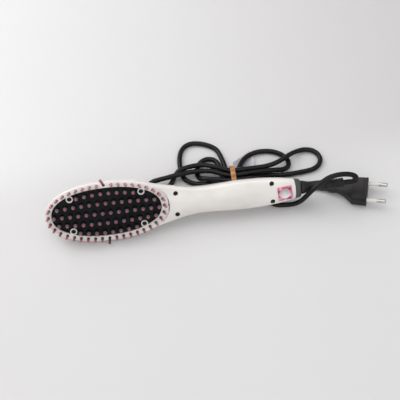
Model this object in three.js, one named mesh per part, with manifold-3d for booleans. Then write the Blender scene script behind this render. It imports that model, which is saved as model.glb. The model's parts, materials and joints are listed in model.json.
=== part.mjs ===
// Heated straightening brush with its mains cord tied in a hank. Millimetres, +Z up, the table at z = 0.
// The brush is drawn in its own frame: x runs from the head to the cord, y across, z out of the bristle
// face, with the head's centre on the face at the origin. A group then rolls it on to the side of its head.
import * as THREE from "three";
import { mergeVertices } from "three/addons/utils/BufferGeometryUtils.js";
import Module from "manifold-3d";

// Fits
const gap = 0.3;                     // between neighbours that touch

// Shell of the head and handle
const headLength = 118;
const headWidth = 60;
const ovalPower = 2.2;               // roundness of every oval on the head, 2 is an ellipse
const neckOverlap = 27;
const neckStart = headLength / 2 - neckOverlap;   // where the handle begins to shape the outline
const neckWidth = 44;
const waistAt = 93;
const waistWidth = 25.8;
const bellyAt = 131;
const bellyWidth = 28.8;
const handleEnd = 182.8;
const tailWidth = 19.6;
const neckBlend = 2.2;               // how late the handle narrows to its end, and how soft the neck is
const endBulge = 3;                  // how far the shell's end stands out in the middle
const partingLevel = -3;             // height of the joint between the shells
const rimCrown = 3.6;                // front shell above the joint, at the head
const handleCrown = 5.2;             // and along the handle
const domeDepth = 19;                // back shell below the joint
const tailDepth = 15;
const shellWall = 1.9;
const rimThickness = 2;
const rimPower = 5;                  // squareness of the front shell's section at the head
const handlePower = 2.3;             // and at the handle

// Heater plate and its teeth
const rimAtEnds = 6.5;               // of the shell, between the plate and the head's outline
const rimAtSides = 6.25;
const plateLength = headLength - 2 * rimAtEnds;
const plateWidth = headWidth - 2 * rimAtSides;
const plateTop = -0.4;
const plateFoot = -3.4;
const flangeTop = -2.3;
const flangeReach = 1;
const toothPitch = 7.75;
const plateShift = -0.5;             // of the plate's centre from the head's, towards the tip
const outerRowInset = 3.95;          // of the outer rows of teeth from the plate's edge
const outerRowBow = 58;              // the rows bow inwards towards their ends
const rowBow = 80;
const rowEnd = 2;                    // least distance from a row's last tooth to the plate's end
const toothClearance = 1.25;         // between a tooth and a screw's boss
const toothBaseRadius = 2.1;
const toothTopRadius = 1.8;
const toothHeight = 4.8;
const boreRadius = 1.5;
const tipPinRadius = 1.15;
const tipLength = 3;                 // of the pin past its tooth

// Ring of bristles in the rim
const bristleCount = 40;
const bristleOffset = 3.1;           // outside the plate's edge
const bristleRadius = 1.15;
const bristleLength = 7;             // from the middle of the rim's thickness
const splayDepth = 350;              // the bristles point away from a place this far under the face
const bristleHoleRadius = 1.7;
const webInner = 1.5;
const webOuter = 4.3;
const webDepth = 1.6;
const bristleRoot = 0.8;             // of each bristle in the web

// Screws: two pairs in the head, one at the neck, one at the handle's end
const headScrewFromEnd = 18.3;       // of the plate, along it
const headScrewInset = 2.5;          // inside the plate's outline
const neckScrews = { x: 66.8, y: 10.7 };
const endScrews = { x: 159.9, y: 9.1 };
const headBossRadius = 3.35;
const headBossFoot = -7;
const headScrewFloor = -5;
const handleScrewFloor = -1.8;
const handleBossRadius = 2.9;
const screwHeadRadius = 1.75;
const screwHeadHeight = 1.4;
const screwShankRadius = 0.8;
const screwLength = 9.5;
const screwHoleRadius = 2.2;

// Inside the head
const combDepth = 1.2;
const stripLine = 4.95;              // of each heater strip from the middle row
const heaterStripWidth = 3.2;
const heaterStripLength = 76;
const sheetDepth = 0.6;
const clampDepth = 1;
const fuseAt = [4, 6];
const fuseRadius = 1.2;
const fuseLength = 10;
const sensorAt = [-1, -5.5];
const sensorSize = [6, 3, 1.6];
const headRibAt = 15;                // of the two ribs that carry the clamp plate, from the head's middle
const headRibWidth = 36;
const ribThickness = 2;

// Control board, display and buttons on the handle's back
const boardStart = 58;
const boardEnd = 150;
const boardWidth = 13.8;
const boardTop = -10.7;
const boardDepth = 1.6;
const boardParts = [                 // low corners from the board's start and middle line, and sizes
  { from: [12, -5], size: [10, 6, 5] },
  { from: [30, -4], size: [5, 8, 3.5] },
  { from: [60, -5.5], size: [12, 11, 4.5] },
  { from: [82, -5], size: [6, 10, 3] },
];
const capacitorAt = [48, 1.5];
const capacitorRadius = 3.6;
const capacitorHeight = 6.5;
const boardRibs = [28, 72, 89];      // under the board, from its start
const boardRibWidth = 10;
const windowAt = 72;
const windowLength = 21;
const windowWidth = 11;
const windowCorner = 2;
const windowFlange = 1.4;
const windowFlangeDepth = 1.2;
const windowFoot = -15.6;
const displayDepth = 2.6;
const buttonStations = { power: 96, minus: 110, plus: 122 };
const buttonRadii = { power: 4.2, minus: 3.6, plus: 3.6 };
const buttonProud = 0.9;
const buttonFlange = 1;
const buttonFlangeDepth = 1;
const buttonRoom = 2.2;              // between a button's flange and the shell's wall
const buttonTravel = 0.6;
const switchBody = 4.6;
const switchHeight = 2.4;
const stemRadius = 1.3;

// Collar and swivelling boot
const collarLength = 5.5;
const spigotLength = 5;
const bootAxis = -5;                 // height of the swivel's axis in the brush's frame
const bootBaseRadius = 6.6;
const bootRadius = 4.8;
const bootLength = 42;
const bootConeLength = 9;
const bootFlangeAt = 24.5;
const bootFlangeRadius = 6;
const bootFlangeLength = 1.4;
const ribCount = 4;
const ribPitch = 2.6;
const ribDepth = 0.9;
const spindleRadius = 3.1;
const spindleFlangeRadius = 4.2;
const spindleLength = 16.3;          // behind the collar's face
const spindleFlangeLength = 8.5;
const bootBoreRadius = 1.4;
const contactBlockSize = [8, 9, 8];

// Seal on the handle
const sealSize = 14;
const sealStart = 165.2;
const sealShift = -1.8;
const sealThickness = 0.3;

// Cord, hank and plug
const cordDiameter = 5;
const cordPlace = [85.54, 0.86];     // of the cord's own frame, measured from the head's centre
const strandGap = 0.7;
const bandAt = [42, 34.5];
const bandWidth = 5;
const bandThickness = 0.8;
const bandMouth = 2.6;               // how far outside the band its strands still run together
const bandSlack = 1.2;               // room in the band beside the bend of the far strands
const strandStep = 2;                // between the points that the hank is worked out on
const settleRounds = 400;
const leadStep = 1.1;                // length of a lead's facets, in cord diameters
const endRun = 9;                    // straight run of the hank's ends past the band
const filmFrom = [46, 53];
const filmTo = [65, 51];
const filmHalfWidth = 4.4;
const filmWaver = 0.5;
const filmLift = 4.5;                // of its far end off the table
const filmThickness = 0.3;
const plugFace = [170.6, -2.4, 9.9];
const plugYaw = -18;                 // degrees
const plugPitch = 8.5;
const plugHalf = [14, 7.5];          // half width and half height of the plug's block
const plugEdge = 0.6;                // of its face
const plugBlockLength = 14.5;
const plugFlareLength = 16;
const plugTailLength = 7.5;
const plugTailRadius = 4;
const plugRibDepth = 0.6;
const pinSpacing = 18.8;
const pinRadius = 2;
const pinCoreRadius = 1.2;
const pinLength = 19;
const pinSleeveLength = 10;
const pinRoot = 6;                   // of each pin inside the plug

// How the brush lies
const roll = 50;                     // degrees towards the viewer

const wasm = await Module();
wasm.setup();

const finishes = {
  pearl: new THREE.MeshStandardMaterial({ color: 0xe9e6e2, roughness: 0.25 }),
  black: new THREE.MeshStandardMaterial({ color: 0x16161a, roughness: 0.3 }),
  pink: new THREE.MeshStandardMaterial({ color: 0xd2557c, roughness: 0.4 }),
  grey: new THREE.MeshStandardMaterial({ color: 0x4a4d55, roughness: 0.35 }),
  rubber: new THREE.MeshStandardMaterial({ color: 0x1b1b1d, roughness: 0.6 }),
  steel: new THREE.MeshStandardMaterial({ color: 0x9a9a9c, roughness: 0.35, metalness: 1 }),
  ceramic: new THREE.MeshStandardMaterial({ color: 0xd8d2c4, roughness: 0.7 }),
  mica: new THREE.MeshStandardMaterial({ color: 0xb9a67c, roughness: 0.6 }),
  board: new THREE.MeshStandardMaterial({ color: 0x1f5c38, roughness: 0.5 }),
  lens: new THREE.MeshStandardMaterial({ color: 0x101216, roughness: 0.1 }),
  foil: new THREE.MeshStandardMaterial({ color: 0xc9637f, roughness: 0.3, metalness: 0.5 }),
  tan: new THREE.MeshStandardMaterial({ color: 0xa9743f, roughness: 0.7 }),
  film: new THREE.MeshStandardMaterial({ color: 0xcfd0d2, roughness: 0.3 }),
  ivory: new THREE.MeshStandardMaterial({ color: 0xdad6cf, roughness: 0.5 }),
};

// Solids

function solidOf(geometry) {
  const bare = new THREE.BufferGeometry();
  bare.setAttribute("position", geometry.getAttribute("position"));
  if (geometry.index) bare.setIndex(geometry.index);
  const merged = mergeVertices(bare, 1e-4);
  return new wasm.Manifold(new wasm.Mesh({
    numProp: 3,
    vertProperties: Float32Array.from(merged.getAttribute("position").array),
    triVerts: Uint32Array.from(merged.index.array),
  }));
}

function geometryOf(solid) {
  const mesh = solid.getMesh();
  const geometry = new THREE.BufferGeometry();
  geometry.setAttribute("position", new THREE.BufferAttribute(mesh.vertProperties, 3));
  geometry.setIndex(new THREE.BufferAttribute(mesh.triVerts, 1));
  geometry.computeVertexNormals();
  return geometry;
}

function piece(parent, name, shape, finish) {
  const geometry = shape.isBufferGeometry ? shape : geometryOf(shape);
  const mesh = new THREE.Mesh(geometry, finish);
  mesh.name = name;
  parent.add(mesh);
  return mesh;
}

function box(low, high) {
  const size = high.map((value, i) => value - low[i]);
  const middle = high.map((value, i) => (value + low[i]) / 2);
  return solidOf(new THREE.BoxGeometry(...size).translate(...middle));
}

function prism(points, low, high) {
  const shape = new THREE.Shape(points.map(([x, y]) => new THREE.Vector2(x, y)));
  const geometry = new THREE.ExtrudeGeometry(shape, { depth: high - low, bevelEnabled: false });
  return solidOf(geometry.translate(0, 0, low));
}

function disc(x, y, radius, low, high, sides = 12) {
  return prism(circle(radius, sides).map(([u, v]) => [x + u, y + v]), low, high);
}

function circle(radius, sides, turn = 0) {
  return Array.from({ length: sides }, (_, i) => {
    const angle = turn + (2 * Math.PI * i) / sides;
    return [radius * Math.cos(angle), radius * Math.sin(angle)];
  });
}

// Turned shape about the z axis, from [radius, height] pairs that start and end on the axis.
function turned(profile, sides) {
  const points = profile.map(([radius, height]) => new THREE.Vector2(radius, height));
  return solidOf(new THREE.LatheGeometry(points, sides).rotateX(Math.PI / 2));
}

// Closed skin over rings that all have the same number of [x, y, z] points.
function skin(rings) {
  const sides = rings[0].length;
  const last = rings.length - 1;
  const positions = rings.flat(2);
  const triangles = [];
  for (let i = 0; i < last; i += 1) {
    for (let j = 0; j < sides; j += 1) {
      const next = (j + 1) % sides;
      const [a, b, c, d] = [i * sides + j, i * sides + next, (i + 1) * sides + j, (i + 1) * sides + next];
      triangles.push(a, b, c, b, d, c);
    }
  }
  for (const [ring, flip] of [[0, true], [last, false]]) {
    const hub = positions.length / 3;
    for (let k = 0; k < 3; k += 1) {
      positions.push(rings[ring].reduce((sum, point) => sum + point[k], 0) / sides);
    }
    for (let j = 0; j < sides; j += 1) {
      const pair = [ring * sides + j, ring * sides + ((j + 1) % sides)];
      triangles.push(...(flip ? [pair[1], pair[0], hub] : [pair[0], pair[1], hub]));
    }
  }
  const geometry = new THREE.BufferGeometry();
  geometry.setAttribute("position", new THREE.Float32BufferAttribute(positions, 3));
  geometry.setIndex(triangles);
  return geometry;
}

// Turns an inside-out skin the right way.
function outward(geometry) {
  const solid = solidOf(geometry);
  if (solid.volume() > 0) return solid;
  geometry.setIndex(Array.from(geometry.index.array).reverse());
  return solidOf(geometry);
}

const joined = (first, ...rest) => rest.reduce((sum, solid) => sum.add(solid), first);
const without = (first, ...rest) => rest.reduce((sum, solid) => sum.subtract(solid), first);
const mirrorSigns = [[-1, -1], [-1, 1], [1, -1], [1, 1]];

// Form of the head and handle

const ease = (t) => {
  const u = Math.min(Math.max(t, 0), 1);
  return u * u * (3 - 2 * u);
};

function oval(length, width, count = 40) {
  return Array.from({ length: count }, (_, i) => {
    const angle = (2 * Math.PI * i) / count;
    const [c, s] = [Math.cos(angle), Math.sin(angle)];
    return [
      (length / 2) * Math.sign(c) * Math.abs(c) ** (2 / ovalPower),
      (width / 2) * Math.sign(s) * Math.abs(s) ** (2 / ovalPower),
    ];
  });
}

// Half of an oval's width at a place along its length.
function ovalHalf(along, length, width) {
  const share = Math.min(Math.abs(along) / (length / 2), 1);
  return (width / 2) * (1 - share ** ovalPower) ** (1 / ovalPower);
}

const headHalfWidth = (x) => ovalHalf(x, headLength, headWidth);

function handleHalfWidth(x) {
  if (x < waistAt) {
    return (neckWidth + (waistWidth - neckWidth) * ease((x - neckStart) / (waistAt - neckStart))) / 2;
  }
  if (x < bellyAt) {
    return (waistWidth + (bellyWidth - waistWidth) * ease((x - waistAt) / (bellyAt - waistAt))) / 2;
  }
  const share = (x - bellyAt) / (handleEnd - bellyAt);
  return (bellyWidth - (bellyWidth - tailWidth) * share ** neckBlend) / 2;
}

function halfWidth(x) {
  if (x < neckStart - neckWidth / 4) return headHalfWidth(x);
  const [head, handle] = [headHalfWidth(x), handleHalfWidth(x)];
  const spread = head - handle;
  return (head + handle + Math.sqrt(spread * spread + neckBlend * neckBlend)) / 2;
}

const tipShare = (x) => Math.sqrt(Math.max(1 - (x / (headLength / 2)) ** 2, 0));
const onHandle = (x) => ease((x - headLength / 2 + 14) / 27);

function frontHeight(x) {
  const height = rimCrown + (handleCrown - rimCrown) * onHandle(x);
  return x < 0 ? height * tipShare(x) ** 0.35 : height;
}

function backDepth(x) {
  if (x < 0) return domeDepth * tipShare(x) ** 0.7;
  return domeDepth - (domeDepth - tailDepth) * Math.max((x - bellyAt) / (handleEnd - bellyAt), 0) ** 2;
}

const sectionPower = (x) => rimPower + (handlePower - rimPower) * onHandle(x);

// One section across the body, inset by the wall when it bounds the hollow.
function section(x, inset, sides) {
  const [half, front, back] = [halfWidth(x) - inset, frontHeight(x) - inset, backDepth(x) - inset];
  const power = sectionPower(x);
  return Array.from({ length: sides }, (_, i) => {
    const angle = (2 * Math.PI * i) / sides;
    const [c, s] = [Math.cos(angle), Math.sin(angle)];
    const round = s > 0 ? 2 / power : 1;
    return [
      x,
      half * Math.sign(c) * Math.abs(c) ** round,
      partingLevel + (s > 0 ? front * s ** round : back * s),
    ];
  });
}

function bodyForm(inset, sides, steps) {
  const tip = -headLength / 2 + inset;
  const stations = [0.12, 0.3, 0.5, 0.72, 0.95, 1.2].map((angle) => tip * Math.cos(angle));
  const end = handleEnd + 2 * endBulge;
  for (let i = 0; i <= steps; i += 1) stations.push((end * i) / steps);
  return outward(skin(stations.map((x) => section(x, inset, sides))));
}

// Height of the front surface above a place on the face.
function frontLevel(x, y) {
  const share = Math.min(Math.abs(y) / halfWidth(x), 1);
  return partingLevel + frontHeight(x) * (1 - share ** sectionPower(x)) ** (1 / sectionPower(x));
}

// Plan of all that lies before the shell's end, which is an arc that stands out in the middle.
function beforeEnd(shift) {
  const reach = tailWidth;
  const radius = (reach * reach + endBulge * endBulge) / (2 * endBulge);
  const points = [[-headLength, -headWidth], [handleEnd - endBulge + shift, -headWidth]];
  for (let i = -6; i <= 6; i += 1) {
    const y = (reach * i) / 6;
    points.push([handleEnd + shift - radius + Math.sqrt(radius * radius - y * y), y]);
  }
  points.push([handleEnd - endBulge + shift, headWidth], [-headLength, headWidth]);
  return points;
}

const high = headWidth;              // a level above and below everything on the brush
const outerForm = without(bodyForm(0, 24, 16), prism(oval(headLength + 1, headWidth + 2), 0, high));
const rimRoom = prism(oval(headLength, headWidth), -rimThickness, high);
const hollowForm = without(bodyForm(shellWall, 16, 11), rimRoom);
const shellForm = without(outerForm, hollowForm).intersect(prism(beforeEnd(0), -high, high));

// Screw places, with the level of the floor that each screw's head sits on

const headScrewX = plateLength / 2 - headScrewFromEnd;
const headScrewY = ovalHalf(headScrewX, plateLength, plateWidth) - headScrewInset;
const screwPlaces = [
  ...mirrorSigns.map(([i, j]) => ({ x: i * headScrewX, y: j * headScrewY, floor: headScrewFloor })),
  ...[-1, 1].map((j) => ({ x: neckScrews.x, y: j * neckScrews.y, floor: handleScrewFloor })),
  ...[-1, 1].map((j) => ({ x: endScrews.x, y: j * endScrews.y, floor: handleScrewFloor })),
];
const inHead = (place) => place.floor === headScrewFloor;
const bossRadius = (place) => (inHead(place) ? headBossRadius : handleBossRadius);
const bossFoot = (place) => (inHead(place) ? headBossFoot : partingLevel + gap / 2);
const shankRoom = screwShankRadius + gap;

// Tooth places: five rows, each with as many teeth as fit on the plate and between the screws' bosses

const outerRow = plateWidth / 2 - outerRowInset;
const toothRows = [-outerRow, -outerRow / 2, 0, outerRow / 2, outerRow].map((y) => {
  const outer = Math.abs(y) === outerRow;
  const reach = outer
    ? headScrewX - headBossRadius - toothBaseRadius - toothClearance
    : ovalHalf(y, plateWidth, plateLength) - rowEnd;
  return { y, bow: outer ? outerRowBow : rowBow, count: 1 + Math.floor((2 * reach) / toothPitch) };
});
const toothPlaces = toothRows.flatMap(({ count, y, bow }) => Array.from({ length: count }, (_, i) => {
  const x = (i - (count - 1) / 2) * toothPitch;
  return { x: x + plateShift, y: y * Math.sqrt(1 - (x / bow) ** 2) };
}));

// Bristle places at even steps round the oval outside the plate

function bristlePlaces() {
  const around = plateOutline(bristleOffset, 96).map(([x, y]) => new THREE.Vector2(x, y));
  const outline = new THREE.SplineCurve(around);
  outline.points.push(outline.points[0].clone());
  return Array.from({ length: bristleCount }, (_, i) => {
    const { x, y } = outline.getPointAt(i / bristleCount);
    return { x, y };
  });
}

function plateOutline(reach, count = 40) {
  const outline = oval(plateLength + 2 * reach, plateWidth + 2 * reach, count);
  return outline.map(([x, y]) => [x + plateShift, y]);
}

function bossDiscs(clearance, low, top) {
  return screwPlaces.filter(inHead).map(({ x, y }) => disc(x, y, headBossRadius + clearance, low, top, 10));
}

// Shells

function frontShell() {
  const opening = without(
    prism(plateOutline(gap), -rimThickness - 1, high),
    ...bossDiscs(0, -rimThickness - 2, high),
  );
  const frontRoom = box([-high, -high, partingLevel + gap / 2], [4 * high, high, high]);
  let shell = without(shellForm.intersect(frontRoom), opening);
  for (const place of screwPlaces) {
    const { x, y, floor } = place;
    const boss = disc(x, y, bossRadius(place), bossFoot(place), 3, 10);
    shell = shell.add(boss.intersect(outerForm));
    shell = without(
      shell,
      disc(x, y, screwHoleRadius, floor, high, 8),
      disc(x, y, shankRoom, headBossFoot - 1, high, 5),
    );
  }
  const holes = bristlePlaces().map(({ x, y }) => (
    disc(x, y, bristleHoleRadius, -rimThickness - webDepth - 3 * gap, high, 5)));
  return without(shell, ...holes);
}

function backShell() {
  let shell = shellForm.intersect(box([-high, -high, -high], [4 * high, high, partingLevel - gap / 2]));
  for (const place of screwPlaces) {
    const { x, y, floor } = place;
    const pillar = disc(x, y, bossRadius(place) - 0.4, -high, bossFoot(place) - gap, 8);
    shell = shell.add(pillar.intersect(outerForm.intersect(prism(beforeEnd(0), -high, high))));
    shell = shell.subtract(disc(x, y, shankRoom, floor - screwLength - gap, high, 5));
  }
  const clampRest = combFoot - sheetDepth - clampDepth - 3 * gap;
  const boardRest = boardTop - boardDepth - gap;
  const rib = (x, width, rest) => (
    box([x - ribThickness / 2, -width / 2, -high], [x + ribThickness / 2, width / 2, rest]));
  const ribs = [
    ...[-headRibAt, headRibAt].map((x) => rib(x, headRibWidth, clampRest)),
    ...boardRibs.map((x) => rib(boardStart + x, boardRibWidth, boardRest)),
  ];
  for (const each of ribs) shell = shell.add(each.intersect(outerForm));
  const window = prism(windowOutline(gap), -high, windowFoot);
  const flangeRoom = prism(windowOutline(windowFlange + gap), windowSeat, windowFoot + 1);
  const holes = Object.keys(buttonStations).map((name) => (
    disc(buttonStations[name], 0, buttonRadii[name] + gap, -high, boardRest, 16)));
  const flangeHoles = Object.keys(buttonStations).map((name) => (
    disc(buttonStations[name], 0, buttonRadii[name] + buttonFlange + gap, buttonSeat(name), boardRest, 16)));
  return without(shell, window, flangeRoom, ...holes, ...flangeHoles);
}

// Heater plate with hollow teeth, cut away round the bosses

const combTop = plateFoot - gap;
const combFoot = combTop - combDepth;

function heaterPlate() {
  const flange = prism(plateOutline(flangeReach), plateFoot, flangeTop);
  const whole = joined(prism(plateOutline(0), plateFoot, plateTop), flange);
  const plate = without(whole, ...bossDiscs(0.5, plateFoot - 1, 1));
  const tooth = turned([[0, plateFoot / 2], [toothBaseRadius, plateFoot / 2], [toothBaseRadius, plateTop],
    [toothTopRadius, plateTop + toothHeight], [0, plateTop + toothHeight]], 5);
  const bore = turned([[0, plateFoot - 1], [boreRadius, plateFoot - 1],
    [boreRadius, plateTop + toothHeight + 1], [0, plateTop + toothHeight + 1]], 5);
  const teeth = toothPlaces.map(({ x, y }) => tooth.translate(x, y, 0));
  const bores = toothPlaces.map(({ x, y }) => bore.translate(x, y, 0));
  return wasm.Manifold.union([plate, ...teeth]).subtract(wasm.Manifold.union(bores));
}

// Comb of insulating tips whose pins pass up through the teeth

function stripBoxes(clearance) {
  return [-1, 1].map((side) => {
    const [low, top] = [-1, 1].map((end) => side * stripLine + end * (heaterStripWidth / 2 + clearance));
    const reach = heaterStripLength / 2 + clearance;
    return box([-reach, low, combFoot - (clearance ? 1 : 0)], [reach, top, combTop + (clearance ? 1 : 0)]);
  });
}

function tipComb() {
  const top = plateTop + toothHeight;
  const pin = turned([[0, combFoot + 0.1], [tipPinRadius, combFoot + 0.1],
    [tipPinRadius, top + tipLength - tipPinRadius / 2], [0, top + tipLength]], 5);
  const sheet = prism(plateOutline(-1, 32), combFoot, combTop);
  const web = without(sheet, ...bossDiscs(gap + 0.2, -high, 0), ...stripBoxes(gap));
  return wasm.Manifold.union([web, ...toothPlaces.map(({ x, y }) => pin.translate(x, y, 0))]);
}

// Ring of splayed bristles on a web under the rim

function bristleRing() {
  const ringTop = -rimThickness - gap;
  const room = bodyForm(shellWall + 2 * gap, 16, 10);
  const web = without(
    prism(plateOutline(webOuter, 32), ringTop - webDepth, ringTop).intersect(room),
    prism(plateOutline(webInner, 32), ringTop - webDepth - 1, ringTop + 1),
    ...bossDiscs(gap, -high, high),
  );
  const middle = -rimThickness / 2;
  const foot = ringTop - bristleRoot - middle;
  const bristle = turned([[0, foot], [bristleRadius, foot],
    [bristleRadius, bristleLength - bristleRadius / 2], [0, bristleLength]], 4);
  const bristles = bristlePlaces().map(({ x, y }) => {
    const away = new THREE.Vector3(x, y, splayDepth).normalize();
    const lean = new THREE.Matrix4().makeTranslation(x, y, middle);
    const turn = new THREE.Quaternion().setFromUnitVectors(new THREE.Vector3(0, 0, 1), away);
    return bristle.transform(lean.multiply(new THREE.Matrix4().makeRotationFromQuaternion(turn)).elements);
  });
  return wasm.Manifold.union([web, ...bristles]);
}

// Layers under the comb

function layer(top, depth, reach) {
  return without(prism(plateOutline(reach, 32), top - depth, top), ...bossDiscs(gap + 0.2, -high, 0));
}

// Display window: its face is cut from the body's form, its flange sits inside the shell

function windowOutline(reach) {
  const [a, b] = [windowLength / 2 + reach, windowWidth / 2 + reach];
  const points = [];
  for (const [i, j, start] of [[1, 1, 0], [-1, 1, 1], [-1, -1, 2], [1, -1, 3]]) {
    for (let k = 0; k <= 2; k += 1) {
      const angle = (Math.PI / 2) * (start + k / 2);
      points.push([
        windowAt + i * (a - windowCorner) + windowCorner * Math.cos(angle),
        j * (b - windowCorner) + windowCorner * Math.sin(angle),
      ]);
    }
  }
  return points;
}
const windowSeat = windowFoot - windowFlangeDepth;

function displayLens() {
  const face = prism(windowOutline(0), -high, windowFoot).intersect(outerForm);
  return face.add(prism(windowOutline(windowFlange), windowSeat + gap, windowFoot));
}

// Push buttons

const innerBack = (x) => partingLevel - backDepth(x) + shellWall;
const buttonSeat = (name) => innerBack(buttonStations[name]) + buttonRoom;

function button(name) {
  const radius = buttonRadii[name];
  const face = partingLevel - backDepth(buttonStations[name]) - buttonProud;
  const seat = buttonSeat(name) + gap;
  return turned([[0, face], [radius * 0.6, face + 0.15], [radius, face + 0.7], [radius, seat],
    [radius + buttonFlange, seat], [radius + buttonFlange, seat + buttonFlangeDepth],
    [0, seat + buttonFlangeDepth]], 16).translate(buttonStations[name], 0, 0);
}

function tactSwitch(name) {
  const top = boardTop - boardDepth - gap;
  const stemEnd = buttonSeat(name) + gap + buttonFlangeDepth + buttonTravel + gap;
  const half = switchBody / 2;
  const body = box([-half, -half, top - switchHeight], [half, half, top]);
  return body.add(disc(0, 0, stemRadius, stemEnd, top - 0.5, 8)).translate(buttonStations[name], 0, 0);
}

// Control board with its power parts on the front side

function controlBoard() {
  const half = boardWidth / 2;
  const board = box([boardStart, -half, boardTop - boardDepth], [boardEnd, half, boardTop]);
  const root = boardTop - boardDepth / 4;
  const parts = boardParts.map(({ from: [x, y], size: [length, width, height] }) => (
    box([boardStart + x, y, root], [boardStart + x + length, y + width, boardTop + height])));
  const [x, y] = capacitorAt;
  const capacitor = disc(boardStart + x, y, capacitorRadius, root, boardTop + capacitorHeight, 8);
  return joined(board, ...parts, capacitor);
}

// Collar that closes the shell's end, with a spigot inside the shells and a bore for the swivel

function collar() {
  const end = handleEnd + gap + collarLength;
  const ring = without(
    bodyForm(0.3, 24, 14).intersect(box([0, -high, -high], [end, high, high])),
    prism(beforeEnd(gap), -high, high),
  );
  const spigot = bodyForm(shellWall + gap, 24, 12)
    .intersect(box([handleEnd - endBulge - spigotLength, -high, -high], [handleEnd + 2, high, high]));
  const far = 2 * high;
  const bore = swivelRound([[0, -far], [spindleRadius + gap, -far], [spindleRadius + gap, far], [0, far]]);
  const roomEnd = spindleFlangeLength - spindleLength + gap;
  const room = swivelRound([[0, -2 * high], [spindleFlangeRadius + gap, -2 * high],
    [spindleFlangeRadius + gap, roomEnd], [0, roomEnd]]);
  return without(ring.add(spigot), bore, room);
}

// Turned about the swivel's axis, heights measured from the collar's outer face.
function swivelRound(profile, sides = 16) {
  return turned(profile, sides).rotate([0, 90, 0]).translate(handleEnd + gap + collarLength, 0, bootAxis);
}

function cordSwivel() {
  const profile = [
    [bootBoreRadius, -spindleLength],
    [spindleFlangeRadius, -spindleLength],
    [spindleFlangeRadius, spindleFlangeLength - spindleLength],
    [spindleRadius, spindleFlangeLength - spindleLength],
    [spindleRadius, gap], [bootBaseRadius, gap], [bootBaseRadius, 2],
    [bootRadius + 0.7, bootConeLength * 0.6], [bootRadius, bootConeLength], [bootRadius, bootFlangeAt],
    [bootFlangeRadius, bootFlangeAt], [bootFlangeRadius, bootFlangeAt + bootFlangeLength],
    [bootRadius, bootFlangeAt + bootFlangeLength],
  ];
  const ribsStart = bootLength - ribCount * ribPitch;
  for (let i = 0; i < ribCount; i += 1) {
    const at = ribsStart + i * ribPitch;
    profile.push([bootRadius, at], [bootRadius - ribDepth, at]);
    profile.push([bootRadius - ribDepth, at + ribPitch * 0.4], [bootRadius, at + ribPitch * 0.4]);
  }
  profile.push([bootRadius, bootLength], [bootBoreRadius, bootLength], [bootBoreRadius, -spindleLength]);
  const points = profile.map(([radius, height]) => new THREE.Vector2(radius, height));
  const geometry = new THREE.LatheGeometry(points, 12).rotateX(Math.PI / 2);
  return outward(geometry).rotate([0, 90, 0]).translate(handleEnd + gap + collarLength, 0, bootAxis);
}

// Block with the slip contacts that the swivel's spindle turns against

function contactBlock() {
  const back = handleEnd + gap + collarLength - spindleLength - gap;
  const [length, width, height] = contactBlockSize;
  return box([back - length, -width / 2, bootAxis - height / 2], [back, width / 2, bootAxis + height / 2]);
}

// Seal: a thin square that follows the handle's front

function foilSeal() {
  const steps = 6;
  const rings = Array.from({ length: steps + 1 }, (_, i) => {
    const x = sealStart + (sealSize * i) / steps;
    const across = Array.from({ length: steps + 1 }, (_, j) => sealShift + sealSize * (j / steps - 0.5));
    const under = across.map((y) => [x, y, frontLevel(x, y) + gap]);
    const over = across.map((y) => [x, y, frontLevel(x, y) + gap + sealThickness]).reverse();
    return [...under, ...over];
  });
  return outward(skin(rings));
}

// Screws

function screw({ x, y, floor }) {
  const seat = floor + gap;
  return turned([[0, seat - screwLength], [screwShankRadius, seat - screwLength + 1], [screwShankRadius, seat],
    [screwHeadRadius, seat], [screwHeadRadius, seat + screwHeadHeight * 0.6],
    [screwHeadRadius * 0.6, seat + screwHeadHeight], [0, seat + screwHeadHeight]], 6).translate(x, y, 0);
}

// Leads

function route(points) {
  return new THREE.CatmullRomCurve3(points.map((point) => new THREE.Vector3(...point)));
}

function tube(curve, radius, steps, sides) {
  const shape = new THREE.Shape(circle(radius, sides).map(([x, y]) => new THREE.Vector2(x, y)));
  return outward(indexed(new THREE.ExtrudeGeometry(shape, { steps, bevelEnabled: false, extrudePath: curve })));
}

function indexed(geometry) {
  const bare = new THREE.BufferGeometry();
  bare.setAttribute("position", geometry.getAttribute("position"));
  return mergeVertices(bare, 1e-4);
}

// Brush

const model = new THREE.Group();
const brush = new THREE.Group();
brush.rotation.x = THREE.MathUtils.degToRad(roll);
model.add(brush);

piece(brush, "front_shell", frontShell(), finishes.pearl);
piece(brush, "back_shell", backShell(), finishes.pearl);
piece(brush, "heater_plate", heaterPlate(), finishes.black);
piece(brush, "tip_comb", tipComb(), finishes.pink);
piece(brush, "bristle_ring", bristleRing(), finishes.pink);
stripBoxes(0).forEach((strip, i) => piece(brush, `heater_strip_${i + 1}`, strip, finishes.ceramic));
piece(brush, "insulation_sheet", layer(combFoot - gap, sheetDepth, -2), finishes.mica);
piece(brush, "clamp_plate", layer(combFoot - sheetDepth - 2 * gap, clampDepth, -3), finishes.steel);
const clampFoot = combFoot - sheetDepth - clampDepth - 2 * gap;
const fuse = turned([[0, -fuseLength / 2], [fuseRadius, -fuseLength / 2], [fuseRadius, fuseLength / 2],
  [0, fuseLength / 2]], 8).rotate([0, 90, 0]);
piece(brush, "thermal_fuse", fuse.translate(...fuseAt, clampFoot - gap - fuseRadius), finishes.steel);
const [sensorX, sensorY] = sensorAt;
const [sensorLength, sensorWidth, sensorDepth] = sensorSize;
piece(brush, "temperature_sensor", box(
  [sensorX - sensorLength / 2, sensorY - sensorWidth / 2, clampFoot - gap - sensorDepth],
  [sensorX + sensorLength / 2, sensorY + sensorWidth / 2, clampFoot - gap],
), finishes.ceramic);
piece(brush, "control_board", controlBoard(), finishes.board);
const displayTop = boardTop - boardDepth - gap;
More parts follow.
